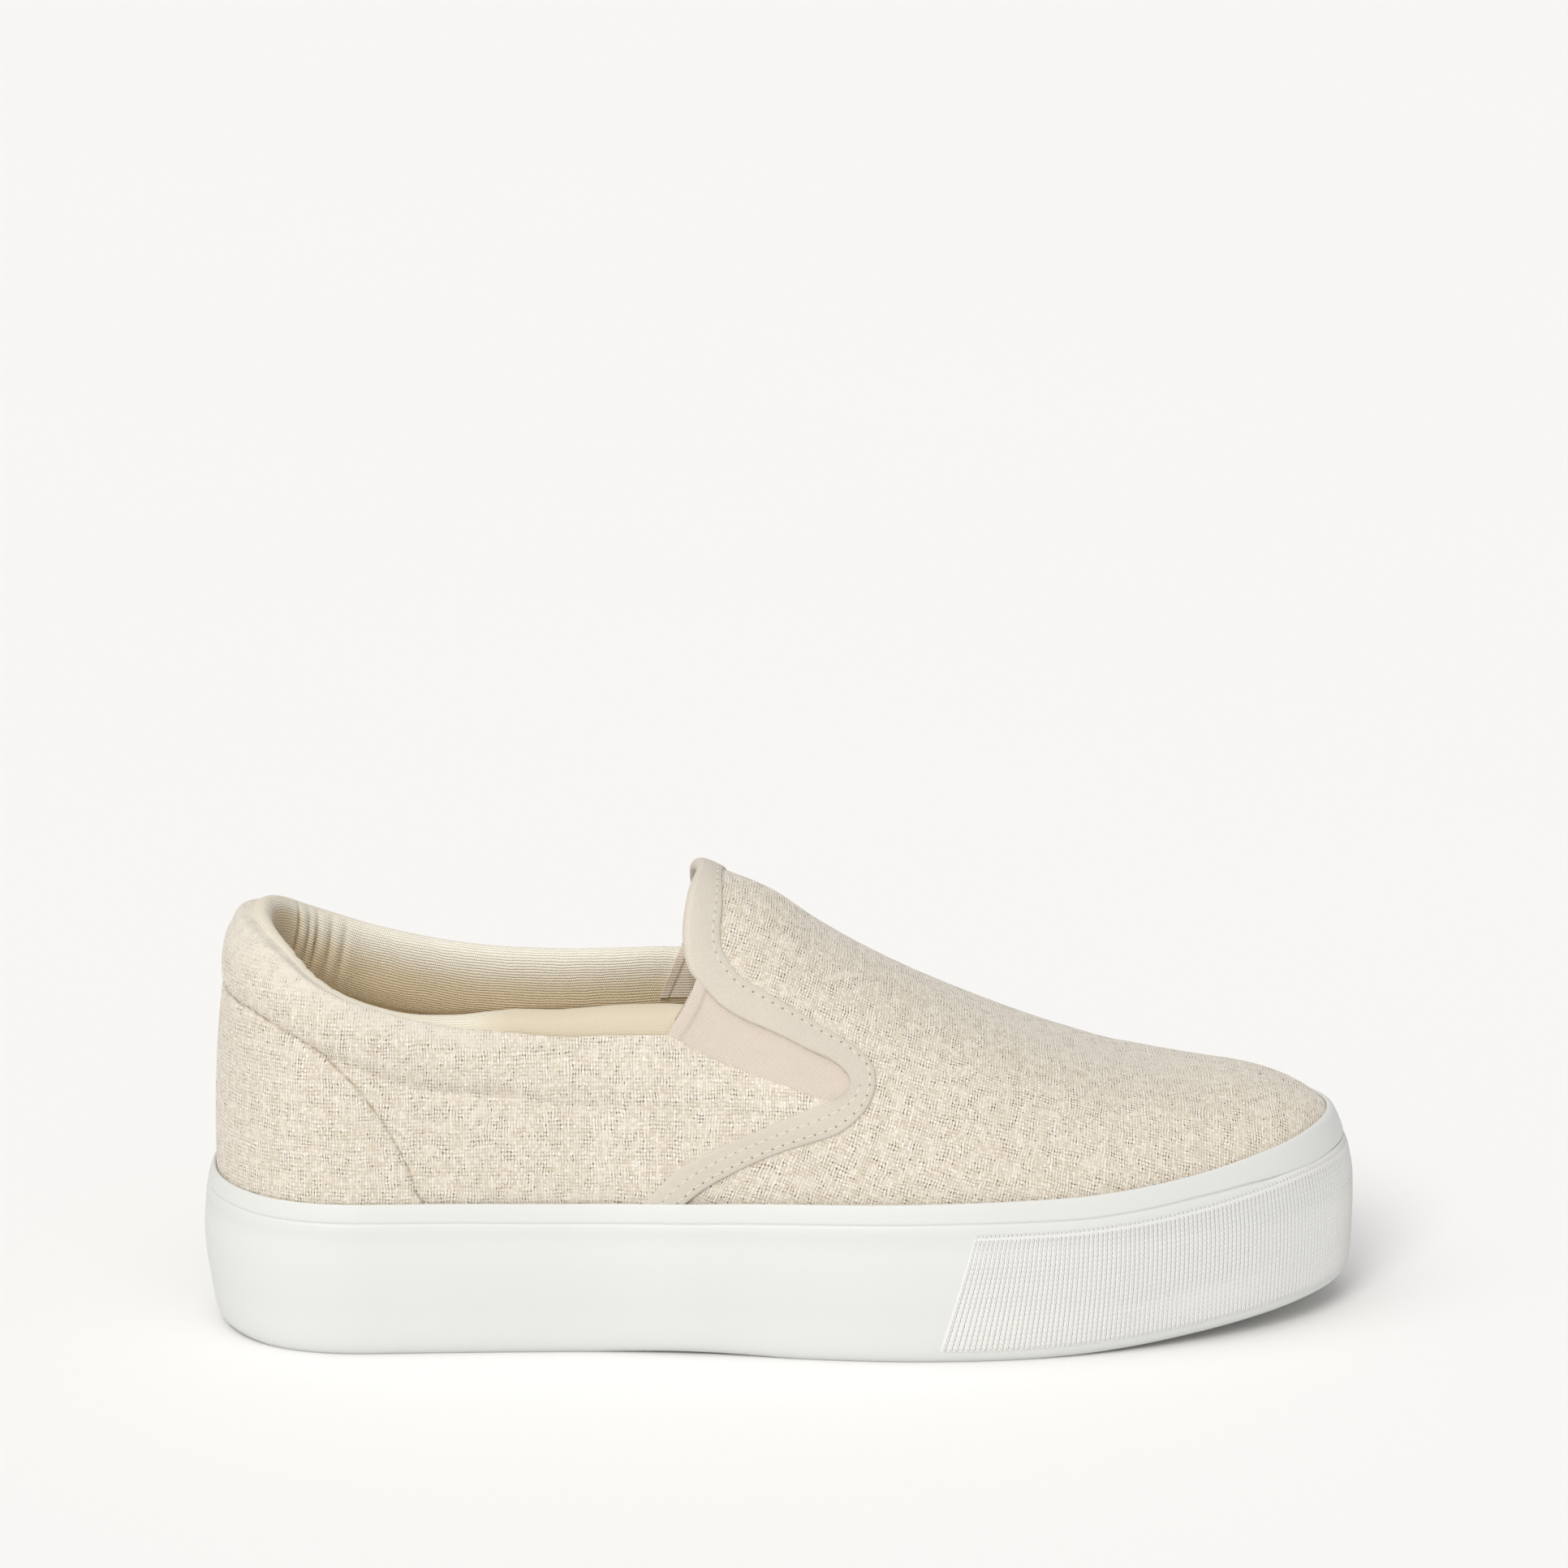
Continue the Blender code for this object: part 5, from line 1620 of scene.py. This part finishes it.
def buildStage():
    # one big square of paper, under an even pale sky
    mesh = bpy.data.meshes.new("floor")
    half = stage["size"] / 2
    corners = [(-half, -half, 0), (half, -half, 0), (half, half, 0), (-half, half, 0)]
    mesh.from_pydata(corners, [], [(0, 1, 2, 3)])
    mesh.materials.append(floorPaper("floorPaper"))
    floor = addObject("floor", mesh)
    world = bpy.data.worlds.new("studio")
    world.use_nodes = True
    sky = world.node_tree.nodes["Background"].inputs
    sky["Color"].default_value = (*stage["world"], 1)
    sky["Strength"].default_value = stage["worldStrength"]
    bpy.context.scene.world = world


sunlight = {
    "colour": (1.0, 0.985, 0.965),
    # each lamp's direction, strength and width in degrees
    "lamps": (
        ("broadSun", (-0.24, -0.29, 0.926), 0.90, 70.0),
        ("frontSun", (-0.27, -0.78, 0.57), 1.43, 22.0),
    ),
}


def buildLights():
    # a broad light from above and a lower, firmer one from the front
    for name, towards, strength, softness in sunlight["lamps"]:
        lamp = bpy.data.lights.new(name, "SUN")
        lamp.energy = strength
        lamp.angle = math.radians(softness)
        lamp.color = sunlight["colour"]
        item = addObject(name, lamp)
        item.matrix_world = Vector(towards).to_track_quat("Z", "Y").to_matrix().to_4x4()


view = {
    "azimuth": 3.0,
    "elevation": 15.0,
    "distance": 2.5,
    "aim": (0.0, 0.0, 0.045),
    # how far it then moves right and up, still looking the same way
    "nudge": (0.000913, 0.07931334),
    "lens": 244.8,
}


def buildCamera():
    # the camera's axes from its two angles, and its place back along the way it looks
    turn, tilt = math.radians(view["azimuth"]), math.radians(view["elevation"])
    right = Vector((math.cos(turn), -math.sin(turn), 0))
    ahead = Vector((math.sin(turn) * math.cos(tilt), math.cos(turn) * math.cos(tilt), -math.sin(tilt)))
    up = right.cross(ahead)
    lens = bpy.data.cameras.new("camera")
    lens.lens = view["lens"]
    lens.sensor_width = 36.0
    lens.clip_start, lens.clip_end = 0.05, 60.0
    camera = addObject("camera", lens)
    place = Vector(view["aim"]) + right * view["nudge"][0] + up * view["nudge"][1] - ahead * view["distance"]
    turned = Matrix((right, up, -ahead)).transposed().to_4x4()
    camera.matrix_world = Matrix.Translation(place) @ turned
    bpy.context.scene.camera = camera


print("stage")
buildStage()
buildLights()
buildCamera()
bpy.context.scene.view_settings.view_transform = "Standard"
